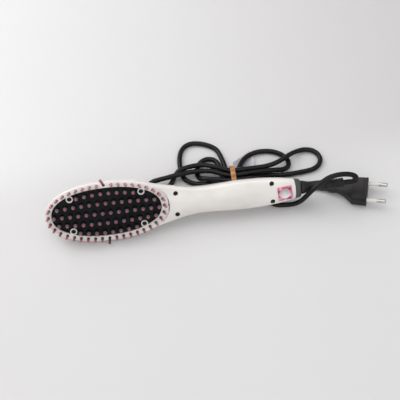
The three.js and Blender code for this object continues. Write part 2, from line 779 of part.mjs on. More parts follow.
piece(brush, "display_module", box(
  [windowAt - windowLength / 2, -windowWidth / 2, displayTop - displayDepth],
  [windowAt + windowLength / 2, windowWidth / 2, displayTop],
), finishes.black);
piece(brush, "display_lens", displayLens(), finishes.lens);
for (const name of Object.keys(buttonStations)) {
  piece(brush, `${name}_button`, button(name), finishes.black);
  piece(brush, `${name}_switch`, tactSwitch(name), finishes.steel);
}
piece(brush, "end_collar", collar(), finishes.grey);
piece(brush, "cord_swivel", cordSwivel(), finishes.rubber);
piece(brush, "contact_block", contactBlock(), finishes.black);
piece(brush, "foil_seal", foilSeal(), finishes.foil);
screwPlaces.forEach((place, i) => piece(brush, `screw_${i + 1}`, screw(place), finishes.steel));

// Set down on the table, centred on the origin
brush.updateMatrixWorld(true);
const bounds = new THREE.Box3().setFromObject(brush, true);
const centre = bounds.getCenter(new THREE.Vector3());
brush.position.set(-centre.x, -centre.y, -bounds.min.z);
brush.updateMatrixWorld(true);

// Cord

const cord = new THREE.Group();
cord.position.set(brush.position.x + cordPlace[0], brush.position.y + cordPlace[1], 0);
model.add(cord);
cord.updateMatrixWorld(true);
const cordRadius = cordDiameter / 2;
const bootEnd = handleEnd + gap + collarLength + bootLength + gap;
const inCord = (group, x, y, z) => cord.worldToLocal(group.localToWorld(new THREE.Vector3(x, y, z))).toArray();

// The hank is drawn in at the band, three strands wide and two high. Each lobe is made of arcs of ellipses
// that join two strands of the bundle, and climbs over the lobes that it crosses.
const pitch = cordDiameter + strandGap;
const lying = cordRadius + 0.1;
const upper = lying + pitch;
const strand = (column, row) => ({
  y: bandAt[1] + column * pitch,
  z: bandThickness + gap + cordRadius + row * pitch,
});

// side: -1 towards the head, 1 towards the plug. An arc has its centre, its two radii, its first and last
// angle in degrees, its first and last height and its count of points.
const lobes = [
  {
    side: -1, from: [-1, 0], to: [1, 0],
    arcs: [
      { centre: [14, 47], radii: [22.5, 14.5], turn: [285, 195], heights: [lying, lying], count: 5 },
      { centre: [5, 59], radii: [13.5, 22.5], turn: [185, 100], heights: [lying, lying], count: 5 },
      { centre: [5, 55], radii: [32, 26.5], turn: [80, 35], heights: [lying, lying], count: 5 },
    ],
  },
  {
    side: 1, from: [1, 0], to: [0, 1],
    arcs: [
      { centre: [76, 44], radii: [25.5, 18.5], turn: [150, 10], heights: [lying + 0.8, lying], count: 9 },
      { centre: [84, 44], radii: [17, 8], turn: [-25, -100], heights: [lying, upper], count: 4 },
    ],
  },
  {
    side: -1, from: [0, 1], to: [1, 1],
    arcs: [
      { centre: [3, 15], radii: [58, 29.5], turn: [65, 122], heights: [upper, upper], count: 5 },
      { centre: [-34, 33.5], radii: [11, 6.5], turn: [110, 370], heights: [upper - 2, lying], count: 8 },
      { centre: [8, 33], radii: [27, 19.5], turn: [162, 138], heights: [lying, upper], count: 3 },
      { centre: [8, 33], radii: [27, 18.5], turn: [125, 45], heights: [upper, upper], count: 4 },
    ],
  },
  {
    side: 1, from: [1, 1], to: [0, 0],
    arcs: [
      { centre: [66, 77.5], radii: [50, 37], turn: [262, 315], heights: [upper, upper], count: 5 },
      { centre: [118.5, 46.5], radii: [15, 12.2], turn: [115, -70], heights: [lying + 1, lying], count: 8 },
      { centre: [95, 60], radii: [40, 28], turn: [285, 250], heights: [lying, lying], count: 4 },
    ],
  },
  {
    side: -1, from: [0, 0], to: [-1, 1],
    arcs: [
      { centre: [20, 46.5], radii: [12.5, 14.5], turn: [35, 190], heights: [lying, lying], count: 7 },
      { centre: [20, 42], radii: [13, 8], turn: [205, 265], heights: [lying, upper], count: 3 },
    ],
  },
];

function lobeKnots({ side, from, to, arcs }) {
  const near = bandAt[0] + side * (bandWidth / 2 + 1);
  const knots = [[near, strand(...from).y, strand(...from).z]];
  for (const { centre, radii, turn, heights, count } of arcs) {
    for (let i = 0; i < count; i += 1) {
      const share = i / (count - 1);
      const angle = THREE.MathUtils.degToRad(turn[0] + (turn[1] - turn[0]) * share);
      knots.push([
        centre[0] + radii[0] * Math.cos(angle),
        centre[1] + radii[1] * Math.sin(angle),
        heights[0] + (heights[1] - heights[0]) * ease(share),
      ]);
    }
  }
  knots.push([near, strand(...to).y, strand(...to).z]);
  return knots;
}

// Pushes the strands apart until nothing is nearer than the wanted distance, and keeps them smooth.
function settle(points, held) {
  const wanted = cordDiameter + strandGap;
  const skip = Math.ceil((1.7 * wanted) / strandStep);
  const home = points.map((point) => point.clone());
  for (let round = 0; round < settleRounds; round += 1) {
    const smooth = round < settleRounds * 0.9 ? 0.6 : 0.2;
    for (let i = 3; i < points.length - 3; i += 1) {
      if (held[i]) continue;
      const target = points[i - 1].clone().add(points[i + 1]).multiplyScalar(4);
      target.sub(points[i - 2]).sub(points[i + 2]).divideScalar(6);
      points[i].lerp(target, smooth).lerp(home[i], 0.004);
      points[i].z = Math.max(points[i].z, cordRadius + 0.05);
      if (Math.abs(points[i].x - bandAt[0]) > bandWidth / 2 + bandMouth) continue;
      points[i].y = Math.min(Math.max(points[i].y, strand(-1, 0).y), strand(1, 0).y + bandSlack);
      points[i].z = Math.min(Math.max(points[i].z, strand(0, 0).z), strand(0, 1).z + 0.1);
    }
    for (let i = 0; i < points.length; i += 1) {
      for (let j = i + skip; j < points.length; j += 1) {
        const apart = points[j].clone().sub(points[i]);
        const distance = apart.length();
        if (distance > wanted) continue;
        apart.multiplyScalar((0.5 * (wanted - distance)) / distance);
        if (!held[i]) points[i].sub(apart);
        if (!held[j]) points[j].add(apart);
      }
    }
  }
  return points;
}

function leastGap(points) {
  const skip = Math.ceil((1.7 * cordDiameter) / strandStep);
  let least = Infinity;
  for (let i = 0; i < points.length; i += 1) {
    for (let j = i + skip; j < points.length; j += 1) {
      least = Math.min(least, points[i].distanceTo(points[j]) - cordDiameter);
    }
  }
  return least;
}

const hankEnd = bandAt[0] + bandWidth / 2 + endRun;
const firstStrand = strand(...lobes[0].from);
const lastStrand = strand(...lobes[lobes.length - 1].to);

function hankPoints() {
  const knots = [
    [hankEnd, firstStrand.y, firstStrand.z],
    [hankEnd - endRun / 2, firstStrand.y, firstStrand.z],
    ...lobes.flatMap(lobeKnots),
    [hankEnd - endRun / 2, lastStrand.y, lastStrand.z],
    [hankEnd, lastStrand.y, lastStrand.z],
  ];
  const drawn = route(knots);
  const points = drawn.getSpacedPoints(Math.round(drawn.getLength() / strandStep));
  const last = points.length - 1;
  return settle(points, points.map((point, i) => Math.min(i, last - i) * strandStep < endRun));
}

const hankLine = hankPoints();
console.log(`hank: least gap to itself ${leastGap(hankLine).toFixed(2)} mm`);
const hankRoute = new THREE.CatmullRomCurve3(hankLine);
const hankSteps = 24 * lobes.length;
piece(cord, "cord_hank", tube(hankRoute, cordRadius, hankSteps, 6), finishes.rubber);

// Band and film

function bandOutline(reach) {
  const near = strand(-1, 0).y - cordRadius - gap - reach;
  const far = strand(1, 0).y + cordRadius + gap + bandSlack + reach;
  const [bottom, crest] = [bandThickness - reach, strand(0, 1).z + cordRadius + gap + 0.1 + reach];
  const corner = cordRadius - 0.5 + reach;
  const path = new THREE.Path();
  path.moveTo(near + corner, bottom);
  path.lineTo(far - corner, bottom);
  path.absarc(far - corner, bottom + corner, corner, -Math.PI / 2, 0);
  path.lineTo(far, crest - corner);
  path.absarc(far - corner, crest - corner, corner, 0, Math.PI / 2);
  path.lineTo(near + corner, crest);
  path.absarc(near + corner, crest - corner, corner, Math.PI / 2, Math.PI);
  path.lineTo(near, bottom + corner);
  path.absarc(near + corner, bottom + corner, corner, Math.PI, Math.PI * 1.5);
  return path.getPoints(3);
}

function hankBand() {
  const shape = new THREE.Shape(bandOutline(bandThickness));
  shape.holes.push(new THREE.Path(bandOutline(0)));
  const geometry = new THREE.ExtrudeGeometry(shape, { depth: bandWidth, bevelEnabled: false });
  const along = new THREE.Matrix4().makeBasis(
    new THREE.Vector3(0, 1, 0),
    new THREE.Vector3(0, 0, 1),
    new THREE.Vector3(1, 0, 0),
  );
  return geometry.translate(0, 0, -bandWidth / 2).applyMatrix4(along).translate(bandAt[0], 0, 0);
}

function film() {
  const steps = 6;
  const rings = Array.from({ length: steps + 1 }, (_, i) => {
    const share = i / steps;
    const [x, y] = filmFrom.map((from, k) => from + (filmTo[k] - from) * share);
    const z = 0.1 + filmLift * (Math.max(share - 0.6, 0) / 0.4) ** 1.5;
    const half = filmHalfWidth + filmWaver * Math.sin(5 * share);
    const top = z + filmThickness;
    return [[x, y - half, z], [x, y + half, z], [x, y + half, top], [x, y - half, top]];
  });
  return outward(skin(rings));
}

piece(cord, "hank_band", hankBand(), finishes.tan);
piece(cord, "hank_film", film(), finishes.film);

// Plug, in its own frame: x along the pins, the origin in the middle of its contact face

function plugSection(x) {
  const flareStart = -plugBlockLength - plugFlareLength;
  const [halfWidthHere, halfHeightHere] = plugHalf;
  if (x >= -plugBlockLength) return [halfWidthHere * (1 + 0.004 * x), halfHeightHere, 5];
  const share = Math.max((x - flareStart) / plugFlareLength, 0);
  const grow = (full) => plugTailRadius + 0.4 * share + (full * 0.95 - plugTailRadius) * share ** 1.8;
  return [grow(halfWidthHere), grow(halfHeightHere), 2 + 2.5 * share];
}

function plugBody() {
  const tail = -plugBlockLength - plugFlareLength - plugTailLength;
  const stations = [0, -plugEdge, -plugBlockLength + plugEdge, -plugBlockLength];
  for (let i = 0; i < 5; i += 1) stations.push(-plugBlockLength - 0.1 - (plugFlareLength * i) / 5);
  for (let i = 0; i < 3; i += 1) {
    const at = -plugBlockLength - plugFlareLength - (plugTailLength * i) / 3;
    stations.push(at, at - 0.2, at - 1.1, at - 1.3);
  }
  stations.push(tail);
  const rings = stations.map((x) => {
    let [a, b, power] = plugSection(x);
    const groove = (-x - plugBlockLength - plugFlareLength) % (plugTailLength / 3);
    if (x < -plugBlockLength - plugFlareLength && groove > 0.15 && groove < 1.2) {
      [a, b] = [a - plugRibDepth, b - plugRibDepth];
    }
    if (x === 0) [a, b] = [a - plugEdge, b - plugEdge];
    return circle(1, 16).map(([c, s]) => [
      x, a * Math.sign(c) * Math.abs(c) ** (2 / power), b * Math.sign(s) * Math.abs(s) ** (2 / power),
    ]);
  });
  const sockets = [-1, 1].map((side) => (
    pinRound([[0, -pinRoot - gap], [pinRadius + gap, -pinRoot - gap], [pinRadius + gap, 1], [0, 1]], side)));
  const [boreStart, boreEnd] = [tail - 1, tail + 4];
  const bore = pinRound([[0, boreStart], [cordRadius * 0.6, boreStart], [cordRadius * 0.6, boreEnd], [0, boreEnd]], 0, 8);
  return without(outward(skin(rings)), ...sockets, bore);
}

function pinRound(profile, side, sides = 12) {
  return turned(profile, sides).rotate([0, 90, 0]).translate(0, (side * pinSpacing) / 2, 0);
}

function plugPin(side) {
  const shoulder = pinSleeveLength + gap;
  return pinRound([[0, -pinRoot], [pinCoreRadius, -pinRoot], [pinCoreRadius, shoulder], [pinRadius, shoulder],
    [pinRadius, pinLength - 1.2], [pinRadius * 0.55, pinLength - 0.2], [0, pinLength]], side);
}

function pinSleeve(side) {
  const inner = pinCoreRadius + gap;
  const points = [
    [inner, -pinRoot],
    [pinRadius, -pinRoot],
    [pinRadius, pinSleeveLength],
    [inner, pinSleeveLength],
    [inner, -pinRoot],
  ].map(([x, y]) => new THREE.Vector2(x, y));
  const geometry = new THREE.LatheGeometry(points, 12).rotateX(Math.PI / 2);
  return outward(geometry).rotate([0, 90, 0]).translate(0, (side * pinSpacing) / 2, 0);
}

const plug = new THREE.Group();
plug.rotation.set(0, -THREE.MathUtils.degToRad(plugPitch), THREE.MathUtils.degToRad(plugYaw), "ZYX");
plug.position.set(...plugFace);
piece(plug, "plug_body", plugBody(), finishes.rubber);
[-1, 1].forEach((side, i) => {
  piece(plug, `plug_pin_${i + 1}`, plugPin(side), finishes.steel);
  piece(plug, `pin_sleeve_${i + 1}`, pinSleeve(side), finishes.ivory);
});
cord.add(plug);
plug.updateMatrixWorld(true);

// Free stretches of the cord, from the boot and from the plug to the hank

const plugTail = -plugBlockLength - plugFlareLength - plugTailLength - gap;

const cordLead = [
  inCord(brush, bootEnd, 0, bootAxis),
  inCord(brush, bootEnd + cordDiameter, 0, bootAxis),
  [154.8, 2.4, 25.8],
  [157.7, 2.2, 29.4],
  [156.4, 3, 33.6],
  [151.8, 4.3, 35.9],
  [144.2, 4.9, 37],
  [137, 4.6, 37],
  [130, 3.1, 36.5],
  [123, 0, 35],
  [116.5, -3.2, 32.5],
  [110.8, -5.6, 28],
  [106.2, -6.9, 21.5],
  [101.9, -6.6, 14],
  [95.7, -4.7, 7],
  [88.4, -2.5, 3.4],
  [79.6, -0.5, 2.7],
  [74, 4, 2.7],
  [70, 11, 2.7],
  [66.5, 18.5, 2.7],
  [62.4, 25.2, 3],
  [hankEnd + gap + cordDiameter, firstStrand.y, firstStrand.z],
  [hankEnd + gap, firstStrand.y, firstStrand.z],
];

const plugLead = [
  inCord(plug, plugTail, 0, 0),
  inCord(plug, plugTail - cordDiameter, 0, 0),
  [123, 13.2, 2.9],
  [112, 16.8, 2.7],
  [100, 19.6, 2.7],
  [88, 22, 3],
  [78, 24.7, 6],
  [70, 27, 8.8],
  [63, 28.6, lastStrand.z],
  [hankEnd + gap + cordDiameter, lastStrand.y, lastStrand.z],
  [hankEnd + gap, lastStrand.y, lastStrand.z],
];

for (const [name, points] of [["cord_lead", cordLead], ["plug_lead", plugLead]]) {
  const line = route(points);
  const steps = Math.round(line.getLength() / (leadStep * cordDiameter));
  piece(cord, name, tube(line, cordRadius, steps, 8), finishes.rubber);
  console.log(`${name}: ${line.getLength().toFixed(0)} mm`);
}
console.log(`cord_hank: ${hankRoute.getLength().toFixed(0)} mm`);

export default model;
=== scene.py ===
"""Heated styling brush with its mains cord tied in a hank, dressed for its portrait on a pale table."""
import json
from bisect import bisect_right
from math import copysign, cos, dist, floor, hypot, pi, radians, sin, sqrt

import bmesh
import bpy
from mathutils import Matrix, Vector


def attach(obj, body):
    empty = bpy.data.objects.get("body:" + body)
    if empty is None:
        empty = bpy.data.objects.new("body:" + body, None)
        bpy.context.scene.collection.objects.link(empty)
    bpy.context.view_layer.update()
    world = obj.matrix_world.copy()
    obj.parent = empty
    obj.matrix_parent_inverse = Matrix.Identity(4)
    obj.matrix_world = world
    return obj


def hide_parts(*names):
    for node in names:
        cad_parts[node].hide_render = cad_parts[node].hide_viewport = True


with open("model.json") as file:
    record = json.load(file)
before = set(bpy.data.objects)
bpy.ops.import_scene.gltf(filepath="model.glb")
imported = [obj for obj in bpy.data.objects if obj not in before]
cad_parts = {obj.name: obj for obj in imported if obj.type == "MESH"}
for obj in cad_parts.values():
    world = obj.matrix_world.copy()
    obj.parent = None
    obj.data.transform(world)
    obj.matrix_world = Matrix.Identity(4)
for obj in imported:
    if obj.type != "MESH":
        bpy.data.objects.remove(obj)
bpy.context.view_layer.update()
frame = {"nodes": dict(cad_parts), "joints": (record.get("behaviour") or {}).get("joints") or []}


# The table and the camera.
# A pale matt table runs up into a pale wall. The camera looks down on the brush from in front, so that
# the bristle face, which is rolled towards it, is seen almost square on.

mm = 0.001
swivel = next(joint for joint in frame["joints"] if joint["name"] == "cord_turn")
face_roll = radians(50)
collar_face, boot_axis = 188.6, -5.0
brush_place = (Matrix.Translation(swivel["pos_m"]) @ Matrix.Rotation(face_roll, 4, "X")
               @ Matrix.Translation((-collar_face * mm, 0, -boot_axis * mm)) @ Matrix.Scale(mm, 4))


def linked(name, data):
    made = bpy.data.objects.new(name, data)
    bpy.context.scene.collection.objects.link(made)
    return made


look_yaw, look_down = radians(7.7), radians(60)
picture_width, focal_pixels, stand_off = 400, 1040, 1.0
look = Vector((sin(look_yaw) * cos(look_down), cos(look_yaw) * cos(look_down), -sin(look_down)))
side = Vector((cos(look_yaw), -sin(look_yaw), 0))
looked_at = brush_place @ Vector((89.6, 0.9, 0))
camera_data = bpy.data.cameras.new("camera")
camera_data.sensor_width = 36
camera_data.lens = camera_data.sensor_width * focal_pixels / picture_width
camera_data.clip_start, camera_data.clip_end = 0.05, 20
camera = linked("camera", camera_data)
camera_turn = Matrix((side, side.cross(look), -look)).transposed().to_4x4()
camera.matrix_world = Matrix.Translation(looked_at - look * stand_off) @ camera_turn
bpy.context.scene.camera = camera


class Socket:
    """One output of a material's nodes, which takes part in sums."""

    def __init__(self, finish, socket):
        self.finish = finish
        self.socket = socket

    def maths(self, operation, first, second):
        return self.finish.node("ShaderNodeMath", {0: first, 1: second}, operation=operation)

    def __add__(self, other):
        return self.maths("ADD", self, other)

    def __sub__(self, other):
        return self.maths("SUBTRACT", self, other)

    def __rsub__(self, other):
        return self.maths("SUBTRACT", other, self)

    def __mul__(self, other):
        return self.maths("MULTIPLY", self, other)

    __radd__, __rmul__ = __add__, __mul__


class Finish:
    """A material round one Principled shader, whose constants are set on its own sockets."""

    def __init__(self, name, **constants):
        self.material = bpy.data.materials.new(name)
        self.material.use_nodes = True
        self.tree = self.material.node_tree
        self.tree.nodes.clear()
        self.shader = self.tree.nodes.new("ShaderNodeBsdfPrincipled")
        output = self.tree.nodes.new("ShaderNodeOutputMaterial")
        self.tree.links.new(self.shader.outputs[0], output.inputs[0])
        self.feed(**constants)

    def node(self, kind, inputs=None, output=0, **settings):
        """Adds a node with its settings, joins or sets its inputs, and gives back one output."""
        made = self.tree.nodes.new(kind)
        for key, value in settings.items():
            setattr(made, key, value)
        for key, value in (inputs or {}).items():
            self.join(value, made.inputs[key])
        return Socket(self, made.outputs[output])

    def join(self, value, target):
        if isinstance(value, Socket):
            self.tree.links.new(value.socket, target)
        else:
            target.default_value = value

    def feed(self, **values):
        for words, value in values.items():
            self.join(value, self.shader.inputs[words.replace("_", " ").title().replace("Ior", "IOR")])

    def place(self):
        return self.node("ShaderNodeTexCoord", output="Object")

    def along(self, axis):
        return self.node("ShaderNodeSeparateXYZ", {0: self.place()}, axis)

    def marked(self, name):
        return self.node("ShaderNodeAttribute", output="Fac", attribute_name=name)

    def noise(self, scale, detail=2, stretch=None):
        where = self.place()
        if stretch:
            where = self.node("ShaderNodeMapping", {"Vector": where, "Scale": stretch})
        return self.node("ShaderNodeTexNoise", {"Vector": where, "Scale": scale, "Detail": detail})

    def ramp(self, value, *stops):
        made = self.node("ShaderNodeValToRGB", {0: value})
        marks = made.socket.node.color_ramp.elements
        while len(marks) < len(stops):
            marks.new(0.5)
        for mark, (place, colour) in zip(marks, stops):
            mark.position = place
            mark.color = (*colour, 1)
        return made

    def vary(self, noise, sheen, *stops):
        """Colour and roughness that follow one noise; sheen is the least roughness and its rise."""
        value = self.noise(*noise)
        self.feed(base_color=self.ramp(value, *stops), roughness=sheen[0] + value * sheen[1])
        return value

    def bump(self, height, strength, depth):
        heights = {"Height": height, "Strength": strength, "Distance": depth}
        self.feed(normal=self.node("ShaderNodeBump", heights))


floor_paint = Finish("table_paint", roughness=0.62, specular_ior_level=0.3)
mottle = floor_paint.noise(7, 3)
further = floor_paint.node("ShaderNodeMapRange", {0: floor_paint.along("Y"), 1: 0.02, 2: 0.09},
                           interpolation_type="SMOOTHSTEP")
# Behind the brush the table, and the wall beyond it, are painted lighter towards the left and darker towards
# the right, and the table in front is a little lighter towards the right: painted light, a falloff of the
# lamps across the backdrop. The mottle is the paint's own uneven tone.
mottle_and_painted_light = 0.45 + mottle * 0.06 - floor_paint.along("X") * (further * 1.7 - 0.2)
floor_paint.feed(base_color=floor_paint.ramp(mottle_and_painted_light, (0.0, (0.54, 0.53, 0.53)), (1.0, (0.74, 0.737, 0.739))))


def quarter_turn(steps):
    return [pi / 2 * i / steps for i in range(steps + 1)]


def skin(made, rows, closed=False):
    """Faces between neighbouring rows of points."""
    for near, far in zip(rows, rows[1:]):
        for i in range(len(near) if closed else len(near) - 1):
            j = (i + 1) % len(near)
            made.faces.new((near[i], near[j], far[j], far[i]))


def as_body(made, outward=True, place=None):
    """The drawn mesh as an object; the faces of a closed one are turned outwards."""
    if outward:
        bmesh.ops.recalc_face_normals(made, faces=made.faces)
    mesh = bpy.data.meshes.new("body")
    made.to_mesh(mesh)
    made.free()
    if place:
        mesh.transform(place)
    return linked("body", mesh)


sweep_depth, sweep_far, sweep_bend, sweep_height, sweep_half = 3.0, 0.62, 0.5, 3.0, 3.5
profile = [(-sweep_depth, 0.0), (sweep_far, 0.0)]
for angle in quarter_turn(12)[1:]:
    profile.append((sweep_far + sweep_bend * sin(angle), sweep_bend * (1 - cos(angle))))
profile.append((sweep_far + sweep_bend, sweep_height))
drawn = bmesh.new()
skin(drawn, [[drawn.verts.new((x, y, z)) for y, z in profile] for x in (sweep_half, -sweep_half)])
sweep = as_body(drawn, outward=False)
sweep.name = "table_sweep"
for polygon in sweep.data.polygons:
    polygon.use_smooth = True
sweep.data.materials.append(floor_paint.material)


def lamp(name, place, size, power):
    """A rectangular lamp that is turned to the middle of the table."""
    light = bpy.data.lights.new(name, "AREA")
    light.shape = "RECTANGLE"
    light.size, light.size_y = size
    light.energy = power
    holder = linked(name, light)
    holder.location = place
    holder.rotation_euler = (-Vector(place)).to_track_quat("-Z", "Y").to_euler()


lamp("window_light", (-0.8, 0.6, 0.95), (0.9, 0.7), 7.0)
lamp("ceiling_light", (-0.2, 0.3, 2.2), (2.0, 1.5), 13)
lamp("front_fill", (0.3, -1.6, 1.3), (2.2, 1.2), 4.5)

room = bpy.data.worlds.new("room")
room.use_nodes = True
bpy.context.scene.world = room
daylight = room.node_tree.nodes["Background"].inputs
daylight["Color"].default_value = (0.98, 0.975, 0.98, 1)
daylight["Strength"].default_value = 0.8
bpy.context.scene.view_settings.view_transform = "Standard"

# Mains cord.
# A round black two-core flex of 5 mm in one length: out of the boot, up and back over the end of the
# handle, round the hank behind the brush and on to the plug.

clearance = 0.3
cord_thickness = 5.0
boot_length, plug_reach = 42.0, 38.0
boot_end = collar_face + boot_length + clearance
brush_middle, cord_shift = brush_place.translation, (0.08554, 0.00086)
cord_place = Matrix.Translation((brush_middle.x + cord_shift[0], brush_middle.y + cord_shift[1], 0))
cord_place = cord_place @ Matrix.Scale(mm, 4)
plug_place = (cord_place @ Matrix.Translation((170.6, -2.4, 9.9))
              @ Matrix.Rotation(radians(-18), 4, "Z") @ Matrix.Rotation(radians(-8.5), 4, "Y"))
lead_from_boot = [
    (154.8, 2.4, 25.8), (157.7, 2.2, 29.4), (156.4, 3, 33.6), (151.8, 4.3, 35.9), (144.2, 4.9, 37),
    (137, 4.6, 37), (130, 3.1, 36.5), (123, 0, 35), (116.5, -3.2, 32.5), (110.8, -5.6, 28),
    (106.2, -6.9, 21.5), (101.9, -6.6, 14), (95.7, -4.7, 7), (88.4, -2.5, 3.4), (79.6, -0.5, 2.7),
    (74, 4, 2.7), (70, 11, 2.7), (66.5, 18.5, 2.7), (62.4, 25.2, 3),
]
lead_to_plug = [
    (63, 28.6, 9.3), (70, 27, 8.8), (78, 24.7, 6), (88, 22, 3), (100, 19.6, 2.7), (112, 16.8, 2.7),
    (123, 13.2, 2.9),
]
hank_start = cord_place @ Vector((53.5, 28.8, 3.6))


def through(knots, steps=6):
    """A smooth line through the knots, as a centripetal Catmull-Rom spline."""
    ends = [knots[0] * 2 - knots[1]] + knots + [knots[-1] * 2 - knots[-2]]
    line = []
    for before, start, end, after in zip(ends, ends[1:], ends[2:], ends[3:]):
        a, b, c = [sqrt((q - p).length) for p, q in ((before, start), (start, end), (end, after))]
        leaving = ((start - before) / a - (end - before) / (a + b) + (end - start) / b) * b
        coming = ((end - start) / b - (after - start) / (b + c) + (after - end) / c) * b
        for step in range(steps):
            t = step / steps
            line.append(start + leaving * t + (3 * (end - start) - 2 * leaving - coming) * t * t
                        + (2 * (start - end) + leaving + coming) * t ** 3)
    return line + [knots[-1]]


def ring_middles(node, first, sides):
    """The middles of a faceted tube's rings, from the ring round its first end to its last."""
    tube = bmesh.new()
    tube.from_mesh(node.data)
    tube.transform(node.matrix_world)
    bmesh.ops.remove_doubles(tube, verts=tube.verts, dist=1e-6)
    ring = sorted(tube.verts, key=lambda vert: (vert.co - first).length)[:sides]
    seen, middles = set(ring), []
    while ring:
        middles.append(sum((vert.co for vert in ring), Vector()) / len(ring))
        near = dict.fromkeys(edge.other_vert(vert) for vert in ring for edge in vert.link_edges)
        ring = [vert for vert in near if vert not in seen]
        seen.update(near)
    tube.free()
    return middles


cord_knots = [brush_place @ Vector((x, 0, boot_axis)) for x in (boot_end, boot_end + cord_thickness)]
cord_knots += [cord_place @ Vector(point) for point in lead_from_boot]
cord_knots += ring_middles(frame["nodes"]["cord_hank"], hank_start, 6)
cord_knots += [cord_place @ Vector(point) for point in lead_to_plug]
cord_knots += [plug_place @ Vector((-plug_reach - clearance - reach, 0, 0)) for reach in (cord_thickness, 0)]
cord_line = through(cord_knots)
cord_length = sum((b - a).length for a, b in zip(cord_line, cord_line[1:]))
flex_curve = bpy.data.curves.new("mains_cord", "CURVE")
flex_curve.dimensions = "3D"
flex_curve.bevel_depth = cord_thickness / 2 * mm
flex_curve.bevel_resolution = 5
flex_curve.use_fill_caps = True
strand = flex_curve.splines.new("POLY")
strand.points.add(len(cord_line) - 1)
for point, place in zip(strand.points, cord_line):
    point.co = (*place, 1)
strand.use_smooth = True
mains_cord = linked("mains_cord", flex_curve)

black_flex = Finish("black_flex", specular_ior_level=0.2)
black_flex.vary((45, 3), (0.13, 0.12), (0.35, (0.004, 0.004, 0.0045)), (0.7, (0.010, 0.010, 0.011)))
black_flex.bump(black_flex.noise(900, 2), 0.25, 0.0001)
flex_curve.materials.append(black_flex.material)
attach(mains_cord, "handset")
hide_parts("cord_lead", "cord_hank", "plug_lead")

# Front shell.
# White pearl moulding in glossy ABS: the oval rim round the heater, pierced for the bristles, and the
# front of the handle. Eight recessed screws hold it to the back shell; the joint runs along the side.

head_length, head_width, oval_power = 118.0, 60.0, 2.2
neck_start, neck_width = 32.0, 44.0
waist_at, waist_width = 93.0, 25.8
belly_at, belly_width = 131.0, 28.8
handle_end, tail_width, end_bulge, neck_blend = 182.8, 19.6, 3.0, 2.2
parting_level, rim_crown, handle_crown = -3.0, 3.6, 5.2
dome_depth, tail_depth, wall = 19.0, 15.0, 1.9
rim_power, handle_power, rim_fall, dome_fall = 5.0, 2.3, 0.35, 0.7
rise_start, rise_length = 45.0, 27.0
seam, mouth_ease = 0.15, 0.15
cutter_start, cutter_end, cutter_reach = -120.0, 260.0, 60.0


def blend(first, last, share):
    return first + (last - first) * share


def ease(t):
    t = min(max(t, 0.0), 1.0)
    return t * t * (3 - 2 * t)


def bulged(value, power):
    """The value's size raised to a power, with its sign kept, which squares a circle's corners."""
    return copysign(abs(value) ** power, value)


def full_turn(steps):
    return [2 * pi * i / steps for i in range(steps)]


def oval_half(along, length, width):
    share = min(abs(along) / (length / 2), 1.0)
    return width / 2 * (1 - share ** oval_power) ** (1 / oval_power)


def handle_half(x):
    if x < waist_at:
        width = blend(neck_width, waist_width, ease((x - neck_start) / (waist_at - neck_start)))
    elif x < belly_at:
        width = blend(waist_width, belly_width, ease((x - waist_at) / (belly_at - waist_at)))
    else:
        width = blend(belly_width, tail_width, ((x - belly_at) / (handle_end - belly_at)) ** neck_blend)
    return width / 2


def half_width(x):
    head = oval_half(x, head_length, head_width)
    if x < neck_start - neck_width / 4:
        return head
    handle = handle_half(x)
    return (head + handle + hypot(head - handle, neck_blend)) / 2


def tip_share(x):
    return sqrt(max(1 - (x / (head_length / 2)) ** 2, 0.0))


def on_handle(x):
    return ease((x - rise_start) / rise_length)


def front_power(x):
    return blend(rim_power, handle_power, on_handle(x))


def front_height(x):
    height = blend(rim_crown, handle_crown, on_handle(x))
    return height * tip_share(x) ** rim_fall if x < 0 else height


def back_depth(x):
    if x < 0:
        return dome_depth * tip_share(x) ** dome_fall
    return blend(dome_depth, tail_depth, max((x - belly_at) / (handle_end - belly_at), 0.0) ** 2)


def section(x, inset, sides):
    """The outline across the brush at x: full towards the front, round at the back."""
    half, front, back = half_width(x) - inset, front_height(x) - inset, back_depth(x) - inset
    ring = []
    for angle in full_turn(sides):
        c, s = cos(angle), sin(angle)
        shape, reach = (2 / front_power(x), front) if s > 0 else (1, back)
        ring.append((x, half * bulged(c, shape), parting_level + reach * bulged(s, shape)))
    return ring


def loft(rings):
    """A closed body over rings that all have the same count of points, in millimetres."""
    made = bmesh.new()
    sheets = [[made.verts.new(point) for point in ring] for ring in rings]
    skin(made, sheets, closed=True)
    made.faces.new(sheets[0][::-1])
    made.faces.new(sheets[-1])
    return as_body(made)


def flared(outline_at, levels):
    """A body whose outline changes with its level: levels are pairs of level and reach."""
    return loft([[(x, y, level) for x, y in outline_at(reach)] for level, reach in levels])


def prism(outline, low, high):
    return flared(lambda reach: outline, [(low, 0), (high, 0)])


def rectangle(left, right, low, high):
    return [(left, low), (right, low), (right, high), (left, high)]


def circle(x, y, radius, sides):
    return [(x + radius * cos(a), y + radius * sin(a)) for a in full_turn(sides)]


def round_cutter(x, y, sides, levels):
    """A round cutter: levels are pairs of level and radius."""
    return flared(lambda radius: circle(x, y, radius, sides), levels)


def drop(*things):
    for thing in things:
        mesh = thing.data
        bpy.data.objects.remove(thing)
        bpy.data.meshes.remove(mesh)


def settled(thing):
    """The body with its modifiers worked into its mesh."""
    view = bpy.context.evaluated_depsgraph_get()
    mesh = bpy.data.meshes.new_from_object(thing.evaluated_get(view))
    thing.modifiers.clear()
    old = thing.data
    thing.data = mesh
    bpy.data.meshes.remove(old)
    return thing


def together(parts):
    """Bodies that stand clear of each other, as one mesh."""
    made = bmesh.new()
    for part in parts:
        made.from_mesh(part.data)
    drop(*parts)
    return as_body(made, outward=False)


def cut(body, *tools, operation="DIFFERENCE"):
    """Changes the body by all the tools at once."""
    tool = together(tools)
    change = body.modifiers.new("cut", "BOOLEAN")
    change.operation = operation
    change.solver = "MANIFOLD"
    change.object = tool
    settled(body)
    drop(tool)
    return body


